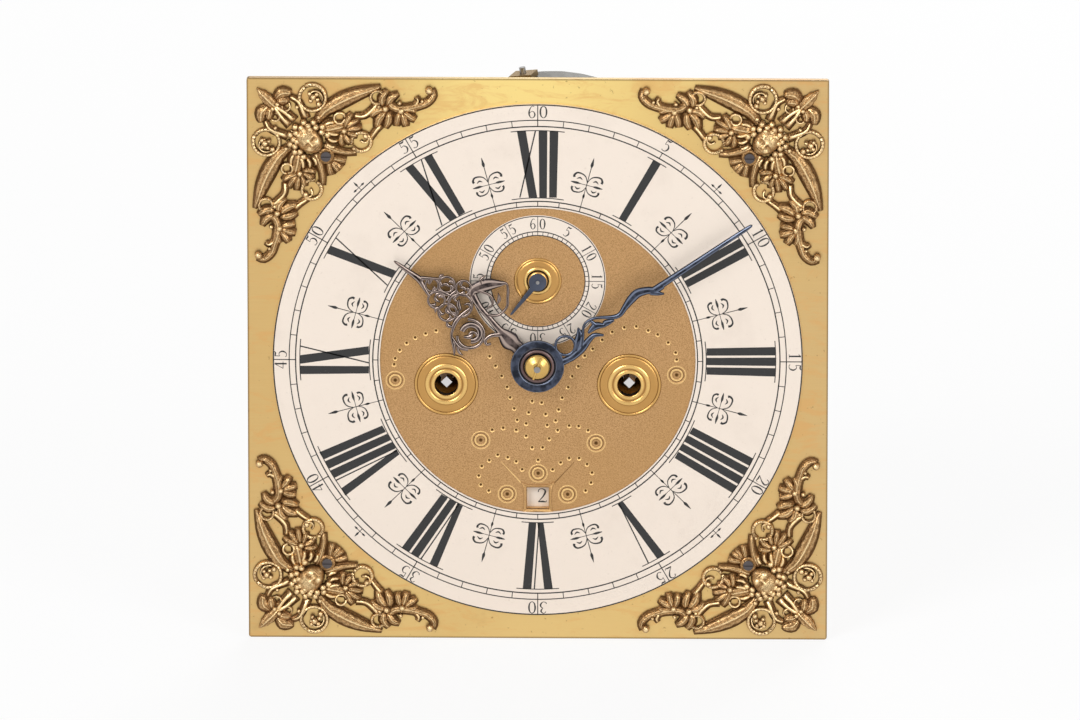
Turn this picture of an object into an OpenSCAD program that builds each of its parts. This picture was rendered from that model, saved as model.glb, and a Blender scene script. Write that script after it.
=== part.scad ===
// Eight-day longcase clock movement with a square brass dial, in millimetres.
// X runs to the right as the dial is seen, Y into the clock and Z up.
// The origin is the middle of the front plate's bottom edge, where the movement stands on its board.

/* [Dial] */
// Side of the square dial plate
dial_side = 254; // [250:1:264]
// Thickness of the dial plate
dial_t = 3; // [2:0.5:4]
// Outer radius of the chapter ring
chapter_outer_r = 116; // [112:0.5:118]
// Inner radius of the chapter ring
chapter_inner_r = 69.1; // [68:0.1:72]
// Thickness of the chapter ring
chapter_t = 1.5; // [1:0.1:2]
// Gap between the seconds ring and the chapter ring
seconds_ring_gap = 3.3; // [2.5:0.1:4.5]
// Inner radius of the seconds ring
seconds_inner_r = 20.5; // [18:0.5:23]
// Thickness of the seconds ring
seconds_t = 1.2; // [0.8:0.1:1.6]
// Radius of the winding holes in the dial
winding_hole_r = 5.1; // [4.7:0.05:5.5]
// Outer radius of the turned rings round each winding hole
winding_ring_r = 14; // [12:0.5:15]
// Outer radius of the turned rings round the seconds arbor
seconds_boss_r = 10.4; // [8:0.2:12]
// Width and height of the date window
date_window = 9.6; // [8:0.2:11]
// Distance of the date window below the centre
date_window_r = 62.8; // [62:0.1:63]
// Gap between a spandrel and the chapter ring, towards the dial's corner
spandrel_gap = 3.9; // [3:0.1:8]
// Distance of a spandrel from the dial's edges
spandrel_margin = 2.5; // [2:0.25:4]
// Thickness of the spandrel casting under its relief
spandrel_t = 2; // [1.6:0.2:2.6]
// Radius of the dial plate's corners
dial_corner_r = 1.2; // [0.4:0.2:2.4]

/* [Date ring] */
// Outer radius of the date ring
date_ring_r = 69; // [68:0.5:70]
// Inner radius of the date ring, at the tips of its teeth
date_ring_inner_r = 50; // [49.8:0.1:51]
// Thickness of the date ring
date_ring_t = 1.5; // [1:0.1:2]

/* [Hands] */
// Length of the minute hand from the centre to its tip
minute_hand_len = 114; // [104:1:118]
// Length of the hour hand from the centre to its tip
hour_hand_len = 78; // [74:1:84]
// Length of the seconds hand from its centre to its tip
seconds_hand_len = 19.3; // [16:0.5:24]
// Radius of the minute hand's boss
minute_boss_r = 11.75; // [10:0.25:12.5]
// Thickness of the hands
hand_t = 1.3; // [0.8:0.1:1.8]
// Radius of the domed collet in front of the hands
collet_r = 5.5; // [4.5:0.1:6]
// Minutes shown by the minute hand
shown_minutes = 9.26; // [0:0.02:59]
// Angle of the hour hand from twelve, clockwise
hour_hand_angle = -53.8; // [-180:0.2:180]
// Angle of the seconds hand from sixty, clockwise
seconds_hand_angle = 218.7; // [0:0.1:360]

/* [Plates] */
// Width of the movement's plates
plate_w = 156; // [150:1:160]
// Height of the plates above the dial's upper feet
plate_margin = 6; // [5:0.25:7]
// Thickness of the plates
plate_t = 3; // [2.5:0.25:3.5]
// Distance between the plates
plate_gap = 60; // [60:1:64]
// Height of the centre arbor above the seat
centre_h = 80; // [76:1:84]
// Distance from the front plate to the back of the dial
dial_gap = 26; // [25.5:0.5:28]
// Belly radius of a plate pillar
pillar_r = 5.5; // [4.5:0.25:6]
// Radius of the tapped seatboard holes in the lower pillars
seat_bolt_r = 2.1; // [1.8:0.1:2.4]

/* [Trains] */
// Distance between the two winding arbors
winding_span = 80; // [79:0.5:82]
// Distance of the winding arbors below the centre
winding_drop = 11; // [10.6:0.1:11.2]
// Height of the seconds arbor above the centre
seconds_h = 36; // [35.5:0.25:36.5]
// Radius of the barrels over their lips
barrel_r = 25; // [22:0.5:25.5]
// Turns of gut line that a barrel takes
barrel_turns = 16; // [12:1:17]
// Thickness of the great wheels
great_t = 3; // [2.4:0.2:3.2]
// Thickness of the other train wheels
wheel_t = 1.6; // [1.2:0.1:1.8]
// Side of the winding squares
winding_square = 3.5; // [3.2:0.1:4]
// Radial clearance of pivots and pipes in their holes
fit_gap = 0.05; // [0.03:0.01:0.08]

/* [Bell] */
// Radius of the bell at its rim
bell_r = 50; // [48:0.5:50.5]
// Height of the bell
bell_h = 34; // [32:0.5:34]
// Wall of the bell
bell_wall = 2.2; // [1.8:0.1:2.6]
// Height of the bell's hole above the plates
bell_rise = 44.2; // [44:0.2:48]
// Lean of the bell towards the left, in degrees
bell_lean = 10; // [7:0.5:10]

/* [Hidden] */

brass = "#c8a24c";
gilt = "#cf9f45";
silver = "#ece6da";
steel = "#6c7077";
blued = "#39475c";
bell_metal = "#8d9290";

// Depths of the main faces, from the dial towards the back
front_out = -plate_t / 2;
front_in = plate_t / 2;
back_in = front_in + plate_gap;
back_out = back_in + plate_t;
dial_back = front_out - dial_gap;
dial_front = dial_back - dial_t;
chapter_front = dial_front - chapter_t;
seat_gap = 0.3;
seconds_outer_r = chapter_inner_r - seconds_h - seconds_ring_gap;
shoulder_gap = 0.3;

// Wheel planes between the plates
centre_y = front_in + 4;
pin_y = front_in + 5;
warning_y = front_in + 9;
hoop_y = front_in + 12.5;
escape_y = front_in + 22.5;
third_y = back_in - 13.6;
great_y = back_in - 9.5;
ratchet_t = 2;
ratchet_y = great_y - 0.4 - ratchet_t;
barrel_y = front_in + 11.5;
barrel_len = 2 * barrel_turns + 1;
hoop_t = 2.4;

// Motion work planes in front of the front plate
lever_t = 1.8;
lever_y = front_out - 0.7;
cannon_y = front_out - 5;
cannon_t = 2;
bridge_t = 1.6;
bridge_y = cannon_y - 0.9 - bridge_t;
hour_t = 2;
hour_y = bridge_y - 0.5 - hour_t;
date_y = hour_y - 7;
date_t = 2;

// Hands, from the ring outwards
hour_hand_y = chapter_front - 3.3;
minute_hand_y = hour_hand_y - hand_t - 4.2;
collet_h = 3.1;
collet_y = minute_hand_y - hand_t - 0.1;
hand_pin_r = 0.5;
hand_pin_a = 20;
hand_pin_y = collet_y - collet_h - hand_pin_r - 0.05;

// Tooth counts
great_n = 96;
centre_q = 8;
centre_n = 60;
third_q = 8;
third_n = 56;
escape_q = 7;
escape_n = 30;
strike_n = 78;
pin_q = 8;
pin_n = 56;
hoop_q = 7;
hoop_n = 54;
warning_q = 7;
warning_n = 48;
fly_q = 7;
count_n = 78;
report_q = 8;
cannon_n = 40;
minute_q = 6;
hour_n = 72;
date_q = 36;
date_n = 72;
ring_teeth = 31;
ratchet_teeth = 24;

// Modules, the pitch diameter per tooth
centre_m = 0.72;
third_m = 0.62;
strike_m = 0.85;
pin_m = 0.7;
hoop_m = 0.6;
warning_m = 0.55;
count_m = 0.55;
motion_r = 24;
cannon_m = 2 * motion_r / (2 * cannon_n);
hour_m = 2 * motion_r / (minute_q + hour_n);
date_m = 0.52;

function pol(r, a) = [r * cos(a), r * sin(a)];
function dir(p, q) = atan2(q[1] - p[1], q[0] - p[0]);

// Point at distance rp from p and rq from q, to the left of the way from p to q
function meet(p, q, rp, rq) =
    let (d = norm(q - p), a = (rp * rp - rq * rq + d * d) / (2 * d), h = sqrt(rp * rp - a * a),
        u = (q - p) / d)
    p + a * u + h * [-u[1], u[0]];
function reach(n, q, m) = (n + q) * m / 2;

// Arbor places in the plane of the plates, from the centre arbor
C = [0, 0];
G = [winding_span / 2, -winding_drop];
S = [-winding_span / 2, -winding_drop];
E = [0, seconds_h];
great_m = 2 * norm(G) / (great_n + centre_q);
T = meet(C, E, reach(centre_n, third_q, centre_m), reach(third_n, escape_q, third_m));
escape_r = 17;
A = E + [0, escape_r * sqrt(2)];
P = S + pol(reach(strike_n, pin_q, strike_m), 85);
H = P + pol(reach(pin_n, hoop_q, pin_m), 40);
W = H + pol(reach(hoop_n, warning_q, hoop_m), 150);
F = W + pol(reach(warning_n, fly_q, warning_m), 40);
Q = P + pol(reach(count_n, report_q, count_m), -100);
M = pol(motion_r, 215);
D = [0, -reach(date_q, date_n, date_m)];
K = S + [-15, 55.2];
L = [-38, 14];
N = S + [-29.5, 41.2];

// Corners and edges of the plates, seen from the centre arbor
foot_x = 44;
foot_flange_r = 5;
foot_date_gap = 2;
foot_top = sqrt(pow(date_ring_r + foot_flange_r + foot_date_gap, 2) - pow(foot_x, 2));
foot_low = 8 - centre_h;
plate_top = foot_top + plate_margin;
plate_h = centre_h + plate_top;
bell_hole_h = plate_h + bell_rise;
pillar_x = 60;
pillar_top = plate_top - 7;
pillar_low = 10 - centre_h;
pillar_places = [[-pillar_x, pillar_top], [pillar_x, pillar_top], [-pillar_x, pillar_low],
    [pillar_x, pillar_low]];
foot_places = [[-foot_x, foot_top], [foot_x, foot_top], [-foot_x, foot_low], [foot_x, foot_low]];
ring_foot_r = (chapter_outer_r + chapter_inner_r) / 2;
seconds_foot_r = (seconds_outer_r + seconds_inner_r) / 2;

// Radii of arbors, pivots and pipes
arbor_r = 1.5;
pivot_r = 0.8;
great_arbor_r = 5;
great_front_r = 4;
great_rear_r = 2.5;
centre_arbor_r = 2.5;
centre_front_r = 1.4;
cannon_pipe_r = 2.7;
bridge_pipe_r = 4;
hour_pipe_r = 5.2;
cannon_bore_r = centre_front_r + fit_gap;
bridge_bore_r = cannon_pipe_r + fit_gap;
hour_bore_r = bridge_pipe_r + fit_gap;
hour_seat_r = 4.6;
cannon_square = 3.9;

// Pieces drawn as seen from the front, spread from depth y0 back to depth y1
module on(p) translate([p[0], 0, centre_h + p[1]]) children();
module slab(y0, y1) translate([0, y1, 0]) rotate([90, 0, 0]) linear_extrude(y1 - y0) children();
module rod(y0, y1, r) translate([0, y1, 0]) rotate([90, 0, 0]) cylinder(h = y1 - y0, r = r, $fn = 48);
module spin(y1) translate([0, y1, 0]) rotate([90, 0, 0]) rotate_extrude($fn = 96) children();
module box(x, y, z) translate([x[0], y[0], z[0]]) cube([x[1] - x[0], y[1] - y[0], z[1] - z[0]]);

// Rest angle of wheel b, so that its teeth mesh with wheel a, which lies the way th from it
function mesh(a, na, nb, th) = th + 180 - 360 / nb * (0.5 - (th - a) * na / 360);

// Epicycloid point of a circle of radius rho that rolls on radius rp, at roll angle phi
function epicycloid(rp, rho, phi) =
    let (k = (rp + rho) / rho)
    [(rp + rho) * cos(phi) - rho * cos(k * phi), (rp + rho) * sin(phi) - rho * sin(k * phi)];
function polar_angle(p) = atan2(p[1], p[0]);
function roll_for(rp, rho, target, lo, hi, k) =
    k == 0 ? lo : let (c = (lo + hi) / 2)
    polar_angle(epicycloid(rp, rho, c)) < target ? roll_for(rp, rho, target, c, hi, k - 1)
    : roll_for(rp, rho, target, lo, c, k - 1);

// Half of one tooth from the pitch circle to the tip, as radius and angle
function flank(rp, rho, half, cut) =
    let (top = roll_for(rp, rho, half * cut, 0, min(60, 170 * rho / (rp + rho)), 24))
    [for (f = [0, 0.6, 1]) let (p = epicycloid(rp, rho, top * f)) [norm(p), half - polar_angle(p)]];
function tooth_tip(n, m, q, tooth, cut) = flank(n * m / 2, q * m / 4, tooth * 180 / n, cut)[2][0];
function wheel_points(n, m, q, tooth, cut, root) =
    let (half = tooth * 180 / n, f = flank(n * m / 2, q * m / 4, half, cut),
        one = concat([[root, -half]], [for (p = f) [p[0], -p[1]]], [for (i = [2:-1:0]) f[i]],
            [[root, half]]))
    [for (i = [0:n - 1]) for (p = one) pol(p[0], 360 / n * i + p[1])];

// Wheel that drives a pinion: tall rounded teeth
wheel_tooth = 0.48;
wheel_cut = 0.9;
// Wheel that runs with another wheel: short teeth
even_tooth = 0.44;
even_cut = 0.22;
leaf = 0.36;
leaf_clear = 0.22;
function tip_of(n, m, q) = tooth_tip(n, m, q, wheel_tooth, wheel_cut);
function root_of(n, m) = n * m / 2 - m;

module crossings(outer, hub, arms, arm_w)
    difference() {
        circle(outer, $fn = 96);
        circle(hub, $fn = 48);
        for (i = [0:arms - 1]) rotate(360 / arms * i)
            polygon([[0, -arm_w * 0.65], [outer + 1, -arm_w * 0.4], [outer + 1, arm_w * 0.4],
                [0, arm_w * 0.65]]);
    }

module crossed_wheel(n, m, q, hub, bore, arms, arm_w, rim)
    difference() {
        polygon(wheel_points(n, m, q, wheel_tooth, wheel_cut, root_of(n, m)));
        crossings(root_of(n, m) - rim, hub, arms, arm_w);
        circle(bore, $fn = 48);
    }

module even_wheel(n, m, q)
    polygon(wheel_points(n, m, q, even_tooth, even_cut, n * m / 2 - 1.2 * m));

// Pinion of q leaves that a wheel of n teeth drives
module pinion(q, m, n) {
    rq = q * m / 2;
    half = leaf * 180 / q;
    tip = rq * half * PI / 180;
    root = rq - (tip_of(n, m, q) - n * m / 2) - leaf_clear;
    one = [[root, -half], [rq, -half], [rq + 0.7 * tip, -0.7 * half], [rq + tip, 0],
        [rq + 0.7 * tip, 0.7 * half], [rq, half], [root, half]];
    polygon([for (i = [0:q - 1]) for (p = one) pol(p[0], 360 / q * i + p[1])]);
}

module plate_hole(p, r, y0, y1) on(p) rod(y0 - 1, y1 + 1, r);

// Arbor with its shoulders just inside the plates and a pivot through each plate
module arbor_body(p, r, piv)
    on(p) {
        rod(front_in + shoulder_gap, back_in - shoulder_gap, r);
        rod(front_out, front_in + shoulder_gap + 0.1, piv);
        rod(back_in - shoulder_gap - 0.1, back_out, piv);
    }

// Smooth band through [x, y, width] points
function spline(a, b, c, d, t) =
    0.5 * (2 * b + (c - a) * t + (2 * a - 5 * b + 4 * c - d) * t * t + (3 * b - a - 3 * c + d) * t * t * t);
function smooth(p, k) =
    let (n = len(p) - 1)
    concat([for (i = [0:n - 1]) for (j = [0:k - 1])
        spline(p[max(i - 1, 0)], p[i], p[i + 1], p[min(i + 2, n)], j / k)], [p[n]]);
function side_points(s, sign) =
    let (n = len(s) - 1)
    [for (i = [0:n])
        let (a = s[max(i - 1, 0)], b = s[min(i + 1, n)], t = [b[0] - a[0], b[1] - a[1]],
            u = t / max(norm(t), 0.001))
        [s[i][0], s[i][1]] + sign * max(s[i][2], 0.2) / 2 * [-u[1], u[0]]];
function reversed(v) = [for (i = [len(v) - 1:-1:0]) v[i]];
module band(p, k = 4) {
    s = smooth(p, k);
    polygon(concat(side_points(s, 1), reversed(side_points(s, -1))));
}

// Scroll that curls from radius r0 at angle a0 to radius r1 at angle a1
module scroll(c, r0, r1, a0, a1, w0, w1) {
    steps = ceil(abs(a1 - a0) / 24);
    band([for (i = [0:steps]) let (f = i / steps, p = c + pol(r0 + (r1 - r0) * f, a0 + (a1 - a0) * f))
        [p[0], p[1], w0 + (w1 - w0) * f]], 1);
}
module hoop2d(c, r, w)
    translate(c) difference() {
        circle(r + w / 2, $fn = 36);
        circle(r - w / 2, $fn = 36);
    }

// Plates and what holds them together

module plate_blank(y0, y1) box([-plate_w / 2, plate_w / 2], [y0, y1], [0, plate_h]);

module front_plate()
    color(brass) {
        difference() {
            plate_blank(front_out, front_in);
            for (p = pillar_places) plate_hole(p, 3 + fit_gap, front_out, front_in);
            for (p = foot_places) plate_hole(p, 2.5 + fit_gap, front_out, front_in);
            for (p = [G, S]) plate_hole(p, great_front_r + fit_gap, front_out, front_in);
            for (p = [T, E, A, P, H, W, F, K, N, M]) plate_hole(p, pivot_r + fit_gap, front_out,
                front_in);
            plate_hole(C, centre_arbor_r + fit_gap, front_out, front_in);
            for (p = bridge_feet) plate_hole(p, screw_r, front_out, front_in);
            // Way through for the warning piece
            on(W + warning_tongue) box([-6, 3.2], [front_out - 1, front_in + 1], [-4, 5]);
        }
        // Riveted studs of the date wheel and the lifting lever
        on(D) rod(date_y - 1.2, front_out, 1.5);
        on(L) rod(lever_y - lever_t - 0.8, front_out, 1.6);
    }

cock_left = [-32, plate_top - 6];
cock_right = [16, plate_top - 6];
stand_x = 30;
stand_w = 8;
stand_screws = [[stand_x, 46], [stand_x, 58]];
spring_foot = N + [3.4, -30];

module back_plate()
    color(brass) difference() {
        union() {
            plate_blank(back_in, back_out);
            // Riveted stud of the count wheel
            on(Q) rod(back_out - 1, count_y + 5.6, 2);
            on(Q) rod(back_out - 1, count_y - 0.2, 3.5);
        }
        for (p = pillar_places) plate_hole(p, 3 + fit_gap, back_in, back_out);
        for (p = [G, S]) plate_hole(p, great_rear_r + fit_gap, back_in, back_out);
        for (p = [C, T, E, H, W, F, N, spring_foot]) plate_hole(p, pivot_r + fit_gap, back_in, back_out);
        plate_hole(P, report_arbor_r + fit_gap, back_in, back_out);
        plate_hole(K, arbor_r + fit_gap, back_in, back_out);
        plate_hole(A, 4.5, back_in, back_out);
        for (p = concat([cock_left, cock_right], stand_screws)) plate_hole(p, screw_r, back_in, back_out);
    }

// Turned pillar: tenon through the front plate, knops and belly, rivet through the back plate
module pillar(p)
    on(p) difference() {
        union() {
            spin(back_out) polygon([[0, 0], [3, 0], [3, plate_t], [pillar_r, plate_t],
                [pillar_r, plate_t + 2],
                [3.4, plate_t + 4], [3.4, plate_t + 8], [pillar_r - 1, plate_t + 10],
                [3.6, plate_t + 12], [3.6, plate_t + plate_gap / 2 - 9],
                    [pillar_r, plate_t + plate_gap / 2 - 5],
                [pillar_r, plate_t + plate_gap / 2 + 5], [3.6, plate_t + plate_gap / 2 + 9],
                [3.6, plate_t + plate_gap - 12], [pillar_r - 1, plate_t + plate_gap - 10],
                [3.4, plate_t + plate_gap - 8], [3.4, plate_t + plate_gap - 4],
                    [pillar_r, plate_t + plate_gap - 2],
                [pillar_r, plate_t + plate_gap], [3, plate_t + plate_gap],
                    [3, 2 * plate_t + plate_gap + 5],
                [0, 2 * plate_t + plate_gap + 5]]);
        }
        translate([0, front_out - 1.1, 0]) cylinder(h = 20, r = 1, center = true, $fn = 32);
    }

module pillars()
    color(brass) difference() {
        for (p = pillar_places) pillar(p);
        // Tapped holes for the seatboard bolts
        for (s = [-1, 1]) translate([s * pillar_x, (front_in + back_in) / 2, 0])
            cylinder(h = 10 + 2, r = seat_bolt_r, $fn = 48);
    }

pin_len = 13;
module taper_pin(p, y) translate([p[0], y, centre_h + p[1] - pin_len / 2])
    cylinder(h = pin_len, r1 = 0.95, r2 = 0.7, $fn = 32);
ring_pin_y = dial_back + 1.05;
ring_feet = [for (a = [45:90:315]) pol(ring_foot_r, a)];
seconds_feet = [E + [seconds_foot_r, 0], E - [seconds_foot_r, 0]];
module taper_pins()
    color(steel) {
        for (p = pillar_places) taper_pin(p, front_out - 1.1);
        for (p = foot_places) taper_pin(p, front_in + 1.1);
        for (p = concat(ring_feet, seconds_feet)) translate([p[0] - 4, ring_pin_y, centre_h + p[1]])
            rotate([0, 90, 0]) cylinder(h = 8, r1 = 0.8, r2 = 0.6, $fn = 24);
    }

screw_r = 1.6;
module screw(head_y, tip_y, way)
    // way is +1 where the head lies behind its seat and -1 where it lies in front
    difference() {
        union() {
            rod(min(head_y, tip_y), max(head_y, tip_y), screw_r - 0.05);
            rod(min(head_y, head_y + way * 2.2), max(head_y, head_y + way * 2.2), 3);
        }
        translate([0, head_y + way * 2.2, 0]) cube([7, 1.4, 0.8], center = true);
    }
bridge_feet = [pol(27, 75), pol(27, -75)];
cock_t = 3;
cock_y = back_out + 12;
module movement_screws()
    color(steel) {
        for (p = bridge_feet) on(p) screw(bridge_y, front_in, -1);
        for (p = [cock_left, cock_right]) on(p) screw(cock_y + cock_t, back_in, 1);
        for (p = stand_screws) on(p) screw(back_out + 3, back_in, 1);
    }

// Dial

// Raised turned moulding round a hole: a rolled rim, a round band, a flat band and a bead
rim_rise = 0.5;
module turned_moulding(r, hole) {
    w = r - hole;
    difference() {
        spin(dial_front + 0.2) polygon([[hole, 0], [hole, rim_rise], [hole + 0.05 * w, rim_rise + 0.25],
            [hole + 0.13 * w, rim_rise + 0.25], [hole + 0.19 * w, 0.5], [hole + 0.24 * w, 0.45],
            [hole + 0.32 * w, rim_rise + 0.3], [hole + 0.4 * w, rim_rise + 0.3], [hole + 0.47 * w, 0.45],
            [hole + 0.52 * w, 0.5], [hole + 0.82 * w, 0.5], [hole + 0.86 * w, 0.3], [hole + 0.9 * w, 0.6],
            [hole + 0.95 * w, 0.6], [r, 0.3], [r, 0]]);
        rod(dial_front - 2, dial_back, hole);
    }
}
// Square plate blank with rounded corners
module dial_blank() {
    half = dial_side / 2;
    translate([0, 0, centre_h]) {
        box([-half, half], [dial_front, dial_back], [dial_corner_r - half, half - dial_corner_r]);
        box([dial_corner_r - half, half - dial_corner_r], [dial_front, dial_back], [-half, half]);
        for (sx = [-1, 1]) for (sz = [-1, 1])
            translate([sx * (half - dial_corner_r), 0, sz * (half - dial_corner_r)])
                rod(dial_front, dial_back, dial_corner_r);
    }
}

module dial_plate()
    color(brass) difference() {
        union() {
            dial_blank();
            for (p = [G, S]) on(p) turned_moulding(winding_ring_r, winding_hole_r + 0.1);
            on(E) turned_moulding(seconds_boss_r, 2.5);
        }
        plate_hole(C, hour_pipe_r + 0.8, dial_front, dial_back);
        plate_hole(E, 2.4, dial_front, dial_back);
        for (p = [G, S]) plate_hole(p, winding_hole_r, dial_front, dial_back);
        for (p = ring_feet) plate_hole(p, 1.5 + fit_gap, dial_front, dial_back);
        for (p = seconds_feet) plate_hole(p, 1.2 + fit_gap, dial_front, dial_back);
        for (p = foot_places) plate_hole(p, 2.2 + fit_gap, dial_front, dial_back);
        for (p = spandrel_screw_places) plate_hole(p, screw_r, dial_front, dial_back);
        // Date window with its splayed front edges
        on([0, -date_window_r]) {
            box([-date_window / 2, date_window / 2], [dial_front - 1, dial_back + 1],
                [-date_window / 2, date_window / 2]);
            slab(dial_front - 1, dial_front + 0.6) polygon([[-date_window * 0.8, -date_window * 0.72],
                [date_window * 0.8, -date_window * 0.72], [date_window * 0.62, date_window * 0.62],
                [-date_window * 0.62, date_window * 0.62]]);
        }
    }

module chapter_ring()
    color(silver) {
        on(C) slab(chapter_front, dial_front) difference() {
            circle(chapter_outer_r, $fn = 128);
            circle(chapter_inner_r, $fn = 128);
        }
        for (p = ring_feet) on(p) difference() {
            rod(dial_front - 0.2, dial_back + 2.2, 1.5);
            translate([0, ring_pin_y, 0]) rotate([0, 90, 0]) cylinder(h = 6, r = 0.85, center = true,
                $fn = 24);
        }
    }

module seconds_ring()
    color(silver) {
        on(E) slab(dial_front - seconds_t, dial_front) difference() {
            circle(seconds_outer_r, $fn = 96);
            circle(seconds_inner_r, $fn = 96);
        }
        for (p = seconds_feet) on(p) difference() {
            rod(dial_front - 0.2, dial_back + 2.2, 1.2);
            translate([0, ring_pin_y, 0]) rotate([0, 90, 0]) cylinder(h = 6, r = 0.85, center = true,
                $fn = 24);
        }
    }

// Spandrel drawn from the dial's corner: x along one edge and y along the other, both inwards
spandrel_reach = 59.7 - 2.5 * sqrt(2);
corner_room = dial_side / sqrt(2) - chapter_outer_r;
sp = (corner_room - spandrel_gap - spandrel_margin * sqrt(2)) / spandrel_reach;
screw_place = 34.6;
head_place = [27, 27];
head_r = 7;
// Small scrolls and rings of one half as [x, y, radius to the middle of the band, width of the band]
spandrel_rings = [[28.7, 8.6, 5.8, 1.9], [57, 8.2, 2.9, 1.7], [50, 28.4, 4.3, 1.9],
    [40.6, 17.6, 2.4, 1.5]];
// Rounded lobes of leaves, flowers and curls of one half as [x, y, radius]
spandrel_lobes = [[14.6, 6.4, 2.4], [17.6, 6.9, 2.1], [16.4, 9.4, 2.3], [29, 8, 2.9], [31.5, 10.9, 1.5],
    [61.2, 7.6, 3.2], [64.9, 9.6, 3.1], [57.6, 16, 3.7], [61.6, 17.7, 3.9], [58.1, 20.2, 2.9],
    [68, 15.6, 3.4], [71.9, 17.3, 2.7], [67.6, 19.5, 2.6], [70.8, 12.4, 2.5], [79.5, 5, 1.8],
    [52.2, 25.4, 1.5], [45.1, 17.6, 3.2], [47.7, 21.5, 3], [44.8, 25.7, 3.2], [41.6, 28.8, 2.6]];
corner_leaf = [[4.3, 4.3], [8.2, 4.4], [11.6, 6.6], [13, 9.2], [12.4, 12.4], [9.2, 13], [6.6, 11.6],
    [4.4, 8.2]];
bow = [[34, 34], [39, 35.4], [43.4, 35.4], [43.6, 37.6], [41.9, 39.6], [40, 40], [39.6, 41.9],
    [37.6, 43.6],
    [35.4, 43.4], [35.4, 39]];
module spandrel_half() {
    for (r = spandrel_rings) hoop2d([r[0], r[1]], r[2], r[3]);
    for (l = spandrel_lobes) translate([l[0], l[1]]) circle(l[2], $fn = 32);
    for (i = [0:5]) translate(head_place + pol(head_r + 1.6, 33 * i - 128)) circle(2.4, $fn = 32);
    band([[12, 12, 3.4], [17, 15.2, 3], [21, 19, 4]], 2);
    band([[19, 8, 2], [22.4, 10, 2], [24.4, 14, 2.4], [26, 18, 3]], 2);
    band([[30.6, 19.6, 3.2], [34.6, 14, 4.8], [41, 9.9, 6], [48, 6.6, 5.4], [54, 4.7, 3],
        [58.6, 3.4, 0.8]], 3);
    band([[41, 8, 2], [43, 5.4, 2], [44.6, 3.6, 0.8]], 2);
    band([[33, 23, 5], [38, 22.2, 5], [43, 21, 5]], 2);
    band([[47, 16.6, 2.6], [51.6, 16.4, 2.2], [55.6, 13, 2.4], [56.6, 10, 2]], 2);
    band([[60, 8, 3], [64, 13, 3.6], [70, 13, 4], [75, 12, 2.8], [79, 10.4, 2.4], [81.3, 7.4, 2.2],
        [80.4, 4.4, 2.2]], 3);
    band([[73, 12.4, 1.8], [74.6, 9.6, 1.8], [74, 8, 0.8]], 2);
    band([[33.4, 30, 5], [38, 31.6, 3.4], [43, 33, 2.6], [48, 33, 2]], 2);
    band([[54, 26.6, 2], [56.4, 23.2, 2], [58.6, 20.6, 2.4]], 2);
}
module spandrel2d()
    difference() {
        union() {
            spandrel_half();
            mirror([1, -1]) spandrel_half();
            translate(head_place) circle(head_r + 1.6, $fn = 48);
            polygon(corner_leaf);
            polygon(bow);
            translate([34, 34]) rotate(45) square([6, 9], center = true);
        }
        translate([screw_place, screw_place]) circle(screw_r / sp, $fn = 32);
    }
// Cap of a ball that stands on the casting, of radius r where it meets it
module cap(p, r, rise) {
    ball = (r * r + rise * rise) / (2 * rise);
    translate([p[0], p[1], spandrel_t - 0.2]) intersection() {
        translate([0, 0, rise - ball]) sphere(ball, $fn = 64);
        translate([-r - 1, -r - 1, 0]) cube([2 * r + 2, 2 * r + 2, rise + 1]);
    }
}
// Head, leaf lobes and curls in relief
module spandrel_relief() {
    cap(head_place, head_r, 4.6);
    for (l = spandrel_lobes) if (l[2] > 2.4) for (p = [[l[0], l[1]], [l[1], l[0]]])
        cap(p, l[2] - 0.25, l[2] * 0.42);
    for (i = [0:8]) if (i != 4) cap(head_place + pol(head_r + 1.7, 36 * i + 81), 2.1, 1.5);
}
module spandrel(sx, sz)
    color(gilt) translate([sx * (dial_side / 2 - spandrel_margin), dial_front,
            centre_h + sz * (dial_side / 2 - spandrel_margin)])
        mirror([sx > 0 ? 1 : 0, 0, 0]) mirror([0, 0, sz > 0 ? 1 : 0]) rotate([90, 0, 0]) scale(sp) {
            linear_extrude(spandrel_t) translate([-2.5, -2.5]) spandrel2d();
            translate([-2.5, -2.5, 0]) spandrel_relief();
        }
screw_from_corner = dial_side / 2 - spandrel_margin - (screw_place - 2.5) * sp;
spandrel_screw_places = [for (sx = [-1, 1]) for (sz = [-1, 1]) [sx * screw_from_corner,
    sz * screw_from_corner]];
module spandrel_top_left() spandrel(-1, 1);
module spandrel_top_right() spandrel(1, 1);
module spandrel_bottom_left() spandrel(-1, -1);
module spandrel_bottom_right() spandrel(1, -1);
module spandrel_screws()
    color(steel) for (p = spandrel_screw_places) on(p) difference() {
        union() {
            rod(dial_front - spandrel_t * sp, dial_back + 1, screw_r - 0.05);
            rod(dial_front - spandrel_t * sp - 1.6, dial_front - spandrel_t * sp, 2.2);
        }
        translate([0, dial_front - spandrel_t * sp - 1.6, 0]) cube([5, 1.2, 0.7], center = true);
    }

// Turned dial feet, riveted in the dial and pinned behind the front plate
module dial_feet()
    color(brass) for (p = foot_places) on(p) difference() {
        spin(front_in + 5) polygon([[0, 0], [2.5, 0], [2.5, plate_t + 5], [4.4, plate_t + 5],
            [4.4, plate_t + 7],
            [3, plate_t + 9], [3, plate_t + 3 + dial_gap], [foot_flange_r, plate_t + 4 + dial_gap],
            [foot_flange_r, plate_t + 5 + dial_gap],
            [2.2, plate_t + 5 + dial_gap], [2.2, plate_t + 5 + dial_gap + dial_t - 0.1],
            [0, plate_t + 5 + dial_gap + dial_t - 0.1]]);
        translate([0, front_in + 1.1, 0]) cylinder(h = 20, r = 1, center = true, $fn = 32);
    }

// Date work

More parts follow.
